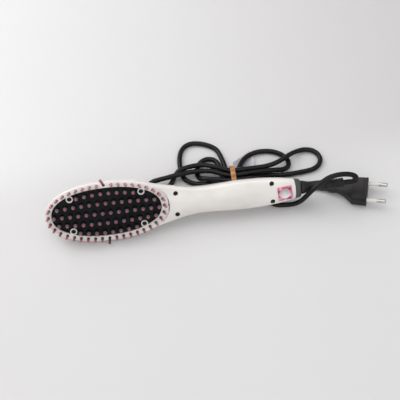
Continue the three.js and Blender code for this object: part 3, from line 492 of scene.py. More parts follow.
def dressed(body, finish, name, smooth=32, place=brush_place, rides="handset"):
    """Takes a finished body to its place, shades it and gives it its material and its CAD body."""
    body.name = name
    body.data.name = name
    body.data.transform(place)
    body.data.polygons.foreach_set("use_smooth", [True] * len(body.data.polygons))
    body.data.set_sharp_from_angle(angle=radians(smooth))
    body.data.materials.clear()
    body.data.materials.append(finish.material)
    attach(body, rides)


def oval(length, width, count):
    shape = 2 / oval_power
    return [(length / 2 * bulged(cos(a), shape), width / 2 * bulged(sin(a), shape))
            for a in full_turn(count)]


rim_at_ends, rim_at_sides, plate_shift = 6.5, 6.25, -0.5
plate_length, plate_width = head_length - 2 * rim_at_ends, head_width - 2 * rim_at_sides


def step_outline(reach):
    """The outline, a little outside the head's, where the flat rim ends in a step at the neck."""
    return oval(head_length + 1 + reach, head_width + 2 + reach, 160)


def plate_outline(reach, count=128):
    return [(x + plate_shift, y) for x, y in oval(plate_length + 2 * reach, plate_width + 2 * reach, count)]


def body_form(inset, sides, steps):
    """The whole outer form of head and handle, drawn in by inset and left too long at the end."""
    tip = -head_length / 2 + inset
    stations = [tip * cos(angle) for angle in quarter_turn(40)[2:-1]]
    last = handle_end + 2 * end_bulge
    stations += [last * i / steps for i in range(steps + 1)]
    return loft([section(x, inset, sides) for x in stations])


def before_end(shift):
    """All that lies before the bowed end of the handle."""
    radius = (tail_width ** 2 + end_bulge ** 2) / (2 * end_bulge)
    edge = [(handle_end + shift - radius + sqrt(radius * radius - y * y), y)
            for y in [tail_width * i / 24 for i in range(-24, 25)]]
    corner = handle_end - end_bulge + shift
    outline = [(cutter_start, -cutter_reach), (corner, -cutter_reach)] + edge
    outline += [(corner, cutter_reach), (cutter_start, cutter_reach)]
    return prism(outline, -cutter_reach, cutter_reach)


def lengths_along(ring):
    """How far along a closed line each of its points lies, and last its whole length."""
    lengths = [0.0]
    for a, b in zip(ring, ring[1:] + ring[:1]):
        lengths.append(lengths[-1] + dist(a, b))
    return lengths


screw_x = plate_length / 2 - 18.3
screw_y = oval_half(screw_x, plate_length, plate_width) - 2.5
head_screws = [(x, y) for x in (-screw_x, screw_x) for y in (-screw_y, screw_y)]
handle_screws = [(66.8, -10.7), (66.8, 10.7), (159.9, -9.1), (159.9, 9.1)]
head_seat, handle_seat = -3.6, -1.8
boss_radius, handle_boss_radius, screw_hole = 3.35, 2.9, 2.3
bristle_count, bristle_offset, bristle_hole = 40, 3.1, 1.4
rim_ring = plate_outline(bristle_offset, 960)
rim_lengths = lengths_along(rim_ring)
bristle_places = [rim_ring[bisect_right(rim_lengths, rim_lengths[-1] * i / bristle_count) - 1]
                  for i in range(bristle_count)]

whole_form = body_form(0, 160, 150)
cut(whole_form, flared(step_outline, [(0, 0), (0.5, 0.1), (1.2, 1.2), (9, 8)]))
front = linked("front", whole_form.data.copy())
rim_keep = prism(oval(head_length, head_width, 160), -2.0, cutter_reach)
cut(front, cut(body_form(wall, 96, 90), rim_keep))
cut(front, before_end(0), operation="INTERSECT")
back = linked("back", front.data.copy())
half_space = rectangle(cutter_start, cutter_end, -cutter_reach, cutter_reach)
cut(front, prism(half_space, parting_level + seam, cutter_reach), operation="INTERSECT")
cut(front, flared(plate_outline, [(-6, clearance), (-0.45, clearance), (0.0, 0.62), (1, 1.4)]))
cut(front, *[prism(circle(x, y, boss_radius, 48), -7, -0.02) for x, y in head_screws], operation="UNION")
posts = [cut(prism(circle(x, y, handle_boss_radius, 48), -2.7, 6),
             linked("room", whole_form.data.copy()), operation="INTERSECT") for x, y in handle_screws]
cut(front, *posts, operation="UNION")


def front_level(x, y):
    """The level of the front's surface over a point of the brush."""
    share = min(abs(y) / half_width(x), 1.0)
    return parting_level + front_height(x) * (1 - share ** front_power(x)) ** (1 / front_power(x))


def recess(x, y, level, seat):
    """A screw's well, whose mouth is eased where it meets the surface."""
    mouth = screw_hole + mouth_ease
    return round_cutter(x, y, 40, [
        (seat - 0.1, screw_hole), (level - mouth_ease, screw_hole), (level, mouth), (level + 6, mouth)])


recesses = [recess(x, y, 0.0, head_seat) for x, y in head_screws]
recesses += [recess(x, y, front_level(x, y), handle_seat) for x, y in handle_screws]
cut(front, *recesses)
cut(front, *[round_cutter(x, y, 24, [
    (-5, bristle_hole), (-0.2, bristle_hole), (0.0, bristle_hole + mouth_ease), (1, bristle_hole + 0.8)])
    for x, y in bristle_places])

# The step where the flat rim meets the neck has a fine groove at its foot, and a small mould mark in it.
groove = prism(step_outline(0.7), -0.5, 4)
cut(groove, prism(step_outline(-0.5), -3, 6))
cut(groove, prism(rectangle(50, 70, -8.5, 8.5), -2, 5), operation="INTERSECT")
cut(front, groove)
cut(front, prism(rectangle(58.7, 60.0, -1.1, 0.9), -1.5, 4))

pearl = Finish("pearl_abs", coat_weight=0.7, coat_roughness=0.06, specular_ior_level=0.5)
cloud = pearl.noise(26, 3, (1, 2.5, 2.5))
pearl.feed(
    base_color=pearl.ramp(cloud, (0.32, (0.655, 0.62, 0.583)), (0.68, (0.77, 0.745, 0.715))),
    roughness=0.16 + pearl.noise(90, 2) * 0.12,
)
pearl.bump(pearl.noise(2600, 1), 0.08, 0.00003)
dressed(front, pearl, "front_cover")
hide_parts("front_shell")

# Back shell.
# The same white pearl ABS, moulded as a deep tray: the dome behind the head and the back of the handle,
# with a window for the display and three round openings for the push buttons.

window_at, window_length, window_width, window_corner = 72.0, 21.0, 11.0, 2.0
button_places = {"power": (96.0, 4.2), "minus": (110.0, 3.6), "plus": (122.0, 3.6)}


def round_box(low, high, corner, steps, reach=0.0):
    """A rectangle with round corners, from its corner at high x and low y, and moved out by reach."""
    ring = []
    for right, top, start in ((1, 0, -1), (1, 1, 0), (0, 1, 1), (0, 0, 2)):
        x = high[0] - corner if right else low[0] + corner
        y = high[1] - corner if top else low[1] + corner
        for angle in quarter_turn(steps):
            angle += pi / 2 * start
            ring.append((x + (corner + reach) * cos(angle), y + (corner + reach) * sin(angle)))
    return ring


def window_outline(reach):
    a, b = window_length / 2 + reach, window_width / 2 + reach
    return round_box((window_at - a, -b), (window_at + a, b), window_corner, 8)


cut(back, prism(half_space, -cutter_reach, parting_level - seam), operation="INTERSECT")
cut(back, prism(window_outline(0.25), -cutter_reach, -12))
cut(back, *[round_cutter(x, 0, 48, [
    (-40, radius + 3), (-22.3, radius + 0.75), (-21.6, radius + clearance), (-12, radius + clearance)])
    for x, radius in button_places.values()])
dressed(back, pearl, "back_cover")
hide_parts("back_shell")

# Heater plate.
# Glossy black enamelled casting, oval, scalloped round the four screw bosses. Its hollow teeth stand in
# five rows and carry the heat into the hair.

plate_top, plate_foot, flange_top = -0.4, -3.4, -2.3
tooth_pitch, tooth_height, tooth_foot, tooth_bore = 7.75, 4.8, 2.1, 1.25
outer_row = plate_width / 2 - 3.95
tooth_places = []
for y in (-outer_row, -outer_row / 2, 0.0, outer_row / 2, outer_row):
    if abs(y) == outer_row:
        reach, bow = screw_x - boss_radius - tooth_foot - 1.25, 58.0
    else:
        reach, bow = oval_half(y, plate_width, plate_length) - 2.0, 80.0
    count = 1 + floor(2 * reach / tooth_pitch)
    for i in range(count):
        x = (i - (count - 1) / 2) * tooth_pitch
        tooth_places.append((x + plate_shift, y * sqrt(1 - (x / bow) ** 2)))

plate = flared(plate_outline, [
    (plate_foot, 1.0), (flange_top, 1.0), (flange_top + 0.01, 0), (plate_top - 0.6, 0),
    (plate_top - 0.25, -0.12), (plate_top - 0.06, -0.35), (plate_top, -0.7)])
bay_radius = boss_radius + 0.45
cut(plate, *[round_cutter(x, y, 48, [
    (-6, bay_radius), (plate_top - 0.4, bay_radius), (plate_top, bay_radius + 0.4), (3, bay_radius + 2.55)])
    for x, y in head_screws])


def turned(profile, sides, place=None):
    """A turned body about the z axis; the profile starts and ends on the axis, or closes on itself."""
    made = bmesh.new()
    rings = []
    for radius, level in profile:
        if radius == 0:
            rings.append([made.verts.new((0, 0, level))] * sides)
        else:
            rings.append([made.verts.new((u, v, level)) for u, v in circle(0, 0, radius, sides)])
    if profile[0][0] > 0:
        rings.append(rings[0])
    for near, far in zip(rings, rings[1:]):
        for i in range(sides):
            j = (i + 1) % sides
            corners = list(dict.fromkeys((near[i], near[j], far[j], far[i])))
            made.faces.new(corners)
    return as_body(made, place=place)


def mark_points(body, name, values):
    """Gives each point of a body a value, which its finish reads by that name."""
    body.data.attributes.new(name, "FLOAT", "POINT").data.foreach_set("value", values)


def planted(places, pattern, leans=None, seed=1, length=1.0, spread=0.0):
    """Copies of a pattern, each on its place and upright or along its own lean, by geometry nodes."""
    leans = leans or [(0.0, 0.0, 1.0)] * len(places)
    mesh = bpy.data.meshes.new("planted")
    mesh.from_pydata(places, [], [])
    lean = mesh.attributes.new("lean", "FLOAT_VECTOR", "POINT")
    lean.data.foreach_set("vector", [value for way in leans for value in way])
    made = linked("planted", mesh)
    tree = bpy.data.node_groups.new("planted", "GeometryNodeTree")
    for words, kind in (("Geometry", "NodeSocketGeometry"), ("Pattern", "NodeSocketObject"),
                        ("Length", "NodeSocketFloat"), ("Spread", "NodeSocketFloat")):
        tree.interface.new_socket(words, in_out="INPUT", socket_type=kind)
    tree.interface.new_socket("Geometry", in_out="OUTPUT", socket_type="NodeSocketGeometry")

    def step(kind, inputs, **settings):
        """Adds a node, joins or sets its inputs, and gives back its outputs."""
        node = tree.nodes.new(kind)
        for key, value in settings.items():
            setattr(node, key, value)
        for key, value in inputs.items():
            if isinstance(value, bpy.types.NodeSocket):
                tree.links.new(value, node.inputs[key])
            else:
                node.inputs[key].default_value = value
        return node.outputs

    given = step("NodeGroupInput", {})
    sizes = {0: given["Length"], 1: given["Spread"]}
    least = step("ShaderNodeMath", sizes, operation="SUBTRACT")
    most = step("ShaderNodeMath", sizes, operation="ADD")
    vary = step("FunctionNodeRandomValue", {2: least[0], 3: most[0], "Seed": seed})
    stretch = step("ShaderNodeCombineXYZ", {0: 1, 1: 1, 2: vary[1]})
    way = step("GeometryNodeInputNamedAttribute", {"Name": "lean"}, data_type="FLOAT_VECTOR")
    turn = step("FunctionNodeAlignRotationToVector", {"Vector": way["Attribute"]})
    shape = step("GeometryNodeObjectInfo", {0: given["Pattern"]})
    spots = step("GeometryNodeInstanceOnPoints", {
        "Points": given["Geometry"], "Instance": shape["Geometry"], "Rotation": turn[0], "Scale": stretch[0]})
    real = step("GeometryNodeRealizeInstances", {0: spots[0]})
    paint = step("GeometryNodeSetMaterial", {0: real[0]})
    step("NodeGroupOutput", {0: paint[0]})
    change = made.modifiers.new("planted", "NODES")
    change.node_group = tree
    values = {"Pattern": pattern, "Length": length, "Spread": spread}
    for item in tree.interface.items_tree:
        if item.in_out == "INPUT" and item.name in values:
            change[item.identifier] = values[item.name]
    settled(made)
    bpy.data.node_groups.remove(tree)
    drop(pattern)
    return made


tooth = turned([
    (tooth_bore, 0), (tooth_foot + 0.4, 0), (tooth_foot + 0.1, 0.2), (tooth_foot, 0.6),
    (1.85, tooth_height - 0.5), (1.84, tooth_height - 0.35), (1.77, tooth_height - 0.12),
    (1.62, tooth_height), (1.4, tooth_height - 0.02), (tooth_bore, tooth_height - 0.2)], 28)
# The top rim of each tooth is marked so that the enamel paints it pale grey: a painted highlight, the room's
# glint on the rim.
mark_points(tooth, "rim_painted_highlight", [float(vert.co.z > tooth_height - 0.4) for vert in tooth.data.vertices])
teeth = planted([(x, y, plate_top) for x, y in tooth_places], tooth)

enamel = Finish("black_enamel", specular_ior_level=0.1)
haze = enamel.noise(120, 3)
# Near-black enamel with a little haze; the marked tooth rims take the pale grey stop as a painted highlight.
enamel.feed(
    base_color=enamel.ramp(haze * 0.1 + enamel.marked("rim_painted_highlight") * 0.9, (0.02, (0.003, 0.0035, 0.004)),
                           (0.09, (0.009, 0.010, 0.011)), (0.96, (0.16, 0.16, 0.165))),
    roughness=0.2 + haze * 0.2,
)
enamel.bump(enamel.noise(1800, 2), 0.12, 0.00004)
dressed(plate, enamel, "heater_casting", smooth=40)
dressed(teeth, enamel, "heater_teeth", smooth=50)
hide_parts("heater_plate")
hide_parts("heater_plate")

# Tips.
# Heat-resistant pink tips, moulded on one comb behind the plate. Each pin passes up through its tooth
# and ends in a rounded cap that keeps the hot metal off the scalp.

tip_radius, tip_length = 1.15, 3.0


def rounded_pin(foot, top, radius, sides=20):
    """A straight pin with a domed end."""
    levels = [(radius, foot + (top - radius - foot) * i / 6) for i in range(6)]
    dome = [(radius * cos(a), top - radius * (1 - sin(a))) for a in quarter_turn(6)[:-1]]
    return turned([(0, foot)] + levels + dome + [(0, top)], sides)


tip = rounded_pin(-2.0, tip_length, tip_radius)
tips = planted([(x, y, plate_top + tooth_height) for x, y in tooth_places], tip, seed=4, spread=0.015)
pink_tip = Finish("pink_tip", subsurface_weight=0.12, subsurface_scale=0.002)
pink_tip.vary((340, 2), (0.24, 0.16), (0.3, (0.25, 0.062, 0.105)), (0.75, (0.34, 0.105, 0.16)))
dressed(tips, pink_tip, "comb_tips", smooth=60)
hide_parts("tip_comb")

# Bristles.
# Soft nylon bristles, dark red and pink at the end, on a ring under the rim. They come up through
# their holes and splay outwards; one at the far side and one at the near side have been bent over.

splay_depth, rim_middle, web_top, web_depth = 260.0, -1.0, -2.3, 1.6
bristle_length, bristle_radius = 7.7, 1.28
bent_length, bent_radius, bent_root, bent_steps = 6.5, 1.25, 2.0, 14
away = [Vector((x, y, splay_depth)).normalized() for x, y in bristle_places]
bent_ones = [min(range(bristle_count), key=lambda i: dist(bristle_places[i], spot))
             for spot in ((1.0, 26.9), (1.0, -26.9))]
bristle_shape = rounded_pin(-2.2, bristle_length, bristle_radius)
mark_points(bristle_shape, "height_share",
            [max(vert.co.z, 0) / bristle_length for vert in bristle_shape.data.vertices])
straight = [i for i in range(bristle_count) if i not in bent_ones]
bristles = planted([(*bristle_places[i], rim_middle) for i in straight], bristle_shape,
                   [tuple(away[i]) for i in straight], seed=7, length=0.985, spread=0.015)


def bent_bristle(place, start, lean_to):
    """A bristle that leaves its hole along its lean and then bows over."""
    side_way = start.cross(lean_to).normalized()
    rings = []
    spot = Vector((*place, rim_middle)) - start * bent_root
    for step in range(bent_steps + 1):
        turn = ease(step / bent_steps * 2.2)
        way = (start * (1 - turn) + lean_to * turn).normalized()
        across = way.cross(side_way).normalized()
        size = bent_radius * (0.55 if step == bent_steps else 1)
        rings.append([tuple(spot + (side_way * cos(a) + across * sin(a)) * size)
                      for a in full_turn(bent_steps)])
        spot = spot + way * (bent_length + bent_root) / bent_steps
    made = loft(rings)
    mark_points(made, "height_share", [max(i // bent_steps / bent_steps - 0.15, 0) * 0.65
                                       for i in range(len(made.data.vertices))])
    return made


bent_ways = [Vector((-0.52, 1.0, -0.1)).normalized(), Vector((-0.16, -0.9, 0.45)).normalized()]
leaned = together([bent_bristle(bristle_places[i], away[i], way) for i, way in zip(bent_ones, bent_ways)])
nylon = Finish("bristle_nylon", subsurface_weight=0.1, subsurface_scale=0.002)
# Along each bristle the colour runs from near black at the foot through dark red to pink; the darkest foot is
# partly painted shade in its hole. The colour is also painted darker towards the near side and paler towards
# the far side: painted shade from the black plate and a painted reflection of the bright room.
nylon.feed(
    base_color=nylon.ramp(nylon.marked("height_share") + nylon.along("Y") * 13,
                          (0.0, (0.02, 0.003, 0.006)), (0.22, (0.12, 0.018, 0.036)),
                          (0.5, (0.28, 0.068, 0.10)), (0.9, (0.42, 0.16, 0.20))),
    roughness=0.22 + nylon.noise(400, 2) * 0.18,
)
dressed(bristles, nylon, "rim_bristles", smooth=60)
dressed(leaned, nylon, "bent_bristle", smooth=60)
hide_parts("bristle_ring")
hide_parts("bristle_ring")

web = flared(plate_outline, [(web_top - web_depth, 3.9), (web_top, 3.9)])
cut(web, flared(plate_outline, [(-6, 1.5), (0, 1.5)]))
cut(web, *[prism(circle(x, y, boss_radius + 0.4, 40), -9, 3) for x, y in head_screws])
web_rubber = Finish("web_rubber", roughness=0.7)
shade = web_rubber.noise(200, 2)
web_rubber.feed(base_color=web_rubber.ramp(shade, (0.3, (0.008, 0.004, 0.005)), (0.7, (0.02, 0.008, 0.010))))
dressed(web, web_rubber, "bristle_web")
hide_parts("bristle_ring")

# Screws.
# Eight blackened cross-head screws, four in the head, two at the neck and two at the handle's end. They
# sit at the bottom of their recesses and only their heads can be seen.

seats = [(x, y, head_seat) for x, y in head_screws] + [(x, y, handle_seat) for x, y in handle_screws]
screw_body = turned([
    (0, -9.2), (0.8, -8.2), (0.8, 0.3), (2.2, 0.3), (2.25, 0.6), (2.2, 1.3), (1.7, 1.9), (0.9, 2.1),
    (0, 2.12)], 28)
for a, b in ((1.1, 0.2), (0.2, 1.1)):
    cut(screw_body, prism(rectangle(-a, a, -b, b), 1.2, 3))
screws = planted(seats, screw_body)
black_oxide = Finish("black_oxide", metallic=1.0)
black_oxide.vary((1500, 3), (0.32, 0.25), (0.35, (0.018, 0.018, 0.02)), (0.8, (0.07, 0.07, 0.075)))
dressed(screws, black_oxide, "case_screws", smooth=40)
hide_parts(*[f"screw_{i}" for i in range(1, 9)])

# Foil seal.
# A square sticker of thin pink foil across the end of the handle, with a plain silver disc in its
# middle. It follows the curve of the shell and is a little creased.

seal_start, seal_size, seal_shift, seal_lift, askew = 165.2, 14.0, -1.8, 0.34, 0.08


def seal_point(u, v, lift):
    """A point of the seal, which was stuck on a little askew."""
    x = seal_start + seal_size * (u + askew * (0.5 - v))
    y = seal_shift + seal_size * (v - 0.5 + askew * (u - 0.5))
    return x, y, front_level(x, y) + lift


def to_disc(u, v):
    """Squeezes the unit square into a disc in its middle."""
    a, b = 2 * u - 1, 2 * v - 1
    return 0.5 + 0.36 * a * sqrt(1 - b * b / 2), 0.5 + 0.36 * b * sqrt(1 - a * a / 2)


def seal_sheet(lift, thickness, steps, form=lambda u, v: (u, v)):
    """A creased sheet on the handle: two skins and the edge between them."""
    made = bmesh.new()
    edges = []
    for side_of in (0, 1):
        rows = []
        for i in range(steps + 1):
            row = []
            for j in range(steps + 1):
                u, v = form(i / steps, j / steps)
                fold = 0.05 * sin(9 * u + 2) * sin(7 * v + 1) + 0.05
                row.append(made.verts.new(seal_point(u, v, lift + (thickness + fold) * side_of)))
            rows.append(row)
        skin(made, rows)
        last_column, first_column = [row[-1] for row in rows[1:-1]], [row[0] for row in rows[-2:0:-1]]
        edges.append(rows[0] + last_column + rows[-1][::-1] + first_column)
    skin(made, edges, closed=True)
    return as_body(made)


seal = seal_sheet(seal_lift, 0.1, 40)
disc = seal_sheet(seal_lift + 0.12, 0.08, 28, to_disc)
pink_foil = Finish("pink_foil", metallic=0.25)
crease = pink_foil.vary((260, 4), (0.22, 0.3), (0.34, (0.25, 0.03, 0.09)), (0.5, (0.58, 0.12, 0.23)),
                        (0.68, (0.78, 0.45, 0.52)))
pink_foil.bump(crease, 0.35, 0.0003)
silver_foil = Finish("silver_foil", metallic=0.4)
rings = silver_foil.noise(190, 4)
# The disc is painted grey towards its far side and pale towards its near side: a painted reflection across
# the disc. The ring noise is the foil's own uneven grain.
silver_foil.feed(
    base_color=silver_foil.ramp(rings * 0.6 - (silver_foil.along("Y") + 0.005) * 140,
                                (0.1, (0.36, 0.35, 0.36)), (0.6, (0.80, 0.79, 0.79))),
    roughness=0.2 + rings * 0.3,
)
silver_foil.bump(rings, 0.3, 0.0003)
dressed(seal, pink_foil, "foil_square", smooth=60)
dressed(disc, silver_foil, "foil_disc", smooth=60)
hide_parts("foil_seal")
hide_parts("foil_seal")

# End collar.
# Dark grey satin ring that closes the shells at the cord's end. Its spigot sits inside them, its outer
# edge is rounded, and the swivel turns in its bore.

collar_length, collar_edge = 5.5, 2.0
collar_end = handle_end + clearance + collar_length
collar_stations = [(handle_end - 8 + i * 0.5, clearance) for i in range(23)]
collar_stations = [(x, inset) for x, inset in collar_stations if x < collar_end - 2.2]
collar_stations += [
    (collar_end - collar_edge * (1 - sin(a)), clearance + collar_edge * (1 - cos(a)))
    for a in quarter_turn(10)
]
collar = loft([section(x, inset, 120) for x, inset in collar_stations])
cut(collar, before_end(clearance))
along_axis = Matrix.Translation((collar_end, 0, boot_axis)) @ Matrix.Rotation(pi / 2, 4, "Y")
collar_bore = [(0, -40), (3.4, -40), (3.4, -0.5), (3.9, 0.01), (3.9, 3), (0, 3)]
cut(collar, turned(collar_bore, 48, along_axis))
grey_satin = Finish("grey_satin", specular_ior_level=0.5, coat_weight=0.15, coat_roughness=0.3)
grey_satin.vary((60, 3), (0.3, 0.16), (0.3, (0.028, 0.031, 0.037)), (0.75, (0.05, 0.054, 0.062)))
grey_satin.bump(grey_satin.noise(2200, 2), 0.15, 0.00005)
dressed(collar, grey_satin, "collar_ring", smooth=40)
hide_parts("end_collar")

# Swivel boot.
# Black rubber strain relief moulded over the cord: a cone, a flange, a plain block and four ribs, on a
# spindle that turns freely in the collar, so that the cord doesn't twist.

boot_profile = [
    (1.4, -16.3), (4.2, -16.3), (4.2, -7.8), (3.1, -7.8), (3.1, 0.3), (6.2, 0.3), (6.55, 0.6), (6.6, 1.2),
    (6.5, 2.2), (6.1, 3.6), (5.6, 5.2), (5.15, 7.0), (4.9, 8.6), (4.8, 10.0), (4.78, 17.0), (4.8, 24.2),
    (5.0, 24.45), (5.85, 24.55), (6.0, 24.75), (6.0, 25.65), (5.85, 25.85), (5.0, 25.95), (4.8, 26.2),
    (4.8, 31.3),
]
boot_rib = [(4.7, 0), (4.0, 0.12), (3.9, 0.3), (3.9, 0.8), (4.0, 1.0), (4.7, 1.12), (4.8, 1.4), (4.8, 2.2)]
for start in (31.6, 34.2, 36.8, 39.4):
    boot_profile += [(radius, start + level) for radius, level in boot_rib]
boot_profile += [(4.75, 41.95), (4.55, 42.2), (2.75, 42.35), (2.56, 42.2), (2.56, 40.0), (1.4, 39.0)]
boot = turned(boot_profile, 56, along_axis)
black_rubber = Finish("black_rubber", specular_ior_level=0.25)
black_rubber.vary((140, 4), (0.38, 0.2), (0.35, (0.008, 0.008, 0.009)), (0.8, (0.026, 0.026, 0.028)))
black_rubber.bump(black_rubber.noise(2600, 2), 0.2, 0.00006)
dressed(boot, black_rubber, "swivel_boot", smooth=35, rides="cord_swivel")
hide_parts("cord_swivel")

# Plug.
# Flat two-pin mains plug in matt black PVC: a shallow block with a ledge round it, a flare that narrows
# to a ribbed tail, and two round pins, sleeved for half their length. It lies tilted on its edge.

block_length, flare_length, plug_half, tail_radius = 14.5, 16.0, (14.0, 7.5), 4.0
edge_radius, ledge_depth, rib_pitch, rib_depth = 0.9, 0.45, 2.5, 0.65
flare_start = -block_length - flare_length
bore_radius = cord_thickness / 2 + 0.06


def plug_ring(x, sides=72):
    """The plug's outline across its length, whose zero is the face between the pins."""
    if x >= -block_length:
        half, tall, power = plug_half[0] * (1 + 0.004 * x), plug_half[1], 5.0
        edge = min(-x, edge_radius)
        inset = edge_radius - sqrt(max(edge_radius ** 2 - (edge_radius - edge) ** 2, 0))
        ledge = ledge_depth if -3.4 < x < -2.9 else 0
        half, tall = half - inset - ledge, tall - inset - ledge
    else:
        share = max((x - flare_start) / flare_length, 0.0)
        half, tall = [tail_radius + 0.4 * share + (full * 0.95 - tail_radius) * share ** 1.8
                      for full in plug_half]
        power = 2 + 2.5 * share
        if x < flare_start and 0.15 < (flare_start - x) % rib_pitch < 1.2:
            half, tall = half - rib_depth, tall - rib_depth
    return [(x, half * bulged(cos(angle), 2 / power), tall * bulged(sin(angle), 2 / power))
            for angle in full_turn(sides)]


plug_stations = [-edge_radius * (1 - cos(angle)) for angle in quarter_turn(6)]
plug_stations += [-2.0, -2.88, -2.92, -3.38, -3.42, -8, -12, -14.2, -14.5]
plug_stations += [-block_length - 0.05 - flare_length * i / 22 for i in range(22)]
for i in range(3):
    rib_start = flare_start - rib_pitch * i
    plug_stations += [rib_start - step for step in (0.02, 0.14, 0.17, 0.6, 1.18, 1.22, 2.4)]
plug_stations.append(-plug_reach)
plug = loft([plug_ring(x) for x in plug_stations])
pin_gap = 18.8
pin_stands = [Matrix.Translation((0, y, 0)) @ Matrix.Rotation(pi / 2, 4, "Y")
              for y in (-pin_gap / 2, pin_gap / 2)]
pin_socket = [(0, -6.3), (2.25, -6.3), (2.25, -0.3), (2.6, 0.05), (2.6, 2), (0, 2)]
sockets = [turned(pin_socket, 32, stand) for stand in pin_stands]
tail_stand = Matrix.Translation((2.0 - plug_reach, 0, 0)) @ Matrix.Rotation(-pi / 2, 4, "Y")
sockets.append(turned([(0, -12), (bore_radius, -12), (bore_radius, 2), (0, 2)], 32, tail_stand))
cut(plug, *sockets)
plug_pvc = Finish("plug_pvc", specular_ior_level=0.25)
bloom = plug_pvc.noise(70, 4)
# The PVC is painted lighter towards its far, upper side and darker towards its near side: painted light on
# the tilted plug. The bloom noise is the PVC's own uneven tone.
plug_pvc.feed(
    base_color=plug_pvc.ramp(bloom * 0.5 + plug_pvc.along("Y") * 22 + 0.3,
                             (0.2, (0.007, 0.0068, 0.0067)), (0.85, (0.038, 0.034, 0.033))),
    roughness=0.4 + bloom * 0.2,
)
plug_pvc.bump(plug_pvc.noise(3000, 2), 0.3, 0.00007)
dressed(plug, plug_pvc, "plug_block", smooth=30, place=plug_place)
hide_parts("plug_body")

pin_profile = [(0, -6), (1.2, -6), (1.2, 10.25), (1.9, 10.25), (2.0, 10.4), (2.0, 17.6), (1.86, 18.3),
               (1.5, 18.75), (0.9, 18.95), (0, 19.0)]
sleeve_profile = [(1.45, -6), (2.0, -6), (2.0, 9.85), (1.9, 10.0), (1.45, 10.0)]
pins = together([turned(pin_profile, 32, stand) for stand in pin_stands])
sleeves = together([turned(sleeve_profile, 32, stand) for stand in pin_stands])
nickel = Finish("nickel_plate", metallic=1.0)
nickel.vary((300, 3, (1, 8, 8)), (0.16, 0.24), (0.3, (0.42, 0.41, 0.40)), (0.75, (0.62, 0.61, 0.59)))
pale_sleeve = Finish("pale_sleeve", subsurface_weight=0.1, subsurface_scale=0.001)
pale_sleeve.vary((220, 2), (0.36, 0.14), (0.3, (0.62, 0.60, 0.57)), (0.7, (0.70, 0.68, 0.65)))
dressed(pins, nickel, "plug_pins", smooth=40, place=plug_place)
dressed(sleeves, pale_sleeve, "pin_sleeves", smooth=40, place=plug_place)
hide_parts("plug_pin_1", "plug_pin_2")
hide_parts("pin_sleeve_1", "pin_sleeve_2")

# Hank band.
# A tan tie of thin card-like tape round the six strands of the hank. It is a little creased, and its
# colour is uneven along its fibres.

strand_pitch, strand_room = 5.7, 2.8
band_at, band_mid, band_wide, band_thick, band_corner, band_slack = 42.0, 34.5, 5.0, 0.7, 2.0, 1.2
low_y = band_mid - strand_pitch - strand_room
high_y = band_mid + strand_pitch + strand_room + band_slack
low_z = 0.8
high_z = low_z + clearance + cord_thickness + strand_pitch + 0.4
band_steps = 110


def band_outline(reach):
    """The tape's path round the strands, in even steps."""
    corners = round_box((low_y, low_z), (high_y, high_z), band_corner, 10, reach)
    ring = []
    for (y0, z0), (y1, z1) in zip(corners, corners[1:] + corners[:1]):
        parts = max(round(dist((y0, z0), (y1, z1)) / 0.8), 1)
        ring += [(blend(y0, y1, k / parts), blend(z0, z1, k / parts)) for k in range(parts)]
    lengths = lengths_along(ring)
    even = []
    for goal in [lengths[-1] * i / band_steps for i in range(band_steps)]:
        at = bisect_right(lengths, goal) - 1
        share = (goal - lengths[at]) / (lengths[at + 1] - lengths[at])
        (y0, z0), (y1, z1) = ring[at], ring[(at + 1) % len(ring)]
        even.append((blend(y0, y1, share), blend(z0, z1, share)))
    return even


drawn = bmesh.new()
strips = []
for ring, outside in ((band_outline(band_thick), 1), (band_outline(0.0), 0)):
    strip = []
    for w in (-1, -0.94, -0.6, -0.2, 0.2, 0.6, 0.94, 1):
        row = []
        for i, (y, z) in enumerate(ring):
            ripple = 0.12 * sin(i * 0.9 + w) * sin(i * 0.23 + 2 * w)
            lift = (ripple - 0.12 * (abs(w) > 0.97) - 0.1) * outside
            out_y = 1 if y > high_y - band_corner else -1 if y < low_y + band_corner else 0
            out_z = 1 if z > high_z - band_corner else 0
            slant = 0.24 * sin(i / band_steps * 2 * pi)
            x = band_at + w * band_wide / 2 * 0.98 + slant
            row.append(drawn.verts.new((x, y + out_y * lift, z + out_z * lift)))
        strip.append(row)
    skin(drawn, strip, closed=True)
    strips.append(strip)
for end in (0, -1):
    skin(drawn, [strips[0][end], strips[1][end]], closed=True)
band = as_body(drawn)
tan_tape = Finish("tan_tape")
fibre = tan_tape.noise(420, 4, (0.3, 1, 1))
stain = tan_tape.noise(110, 3)
tan_tape.feed(
    base_color=tan_tape.ramp(fibre * 0.6 + stain * 0.4, (0.35, (0.17, 0.06, 0.016)),
                             (0.52, (0.36, 0.165, 0.055)), (0.7, (0.52, 0.29, 0.125))),
    roughness=0.42 + fibre * 0.25,
)
tan_tape.bump(fibre, 0.4, 0.0002)
dressed(band, tan_tape, "hank_tie", smooth=50, place=cord_place)
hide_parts("hank_band")

# Film.
# A scrap of clear, slightly milky plastic film behind the tie. It is caught under the strands, widens
# away from them and curls up at its far end.

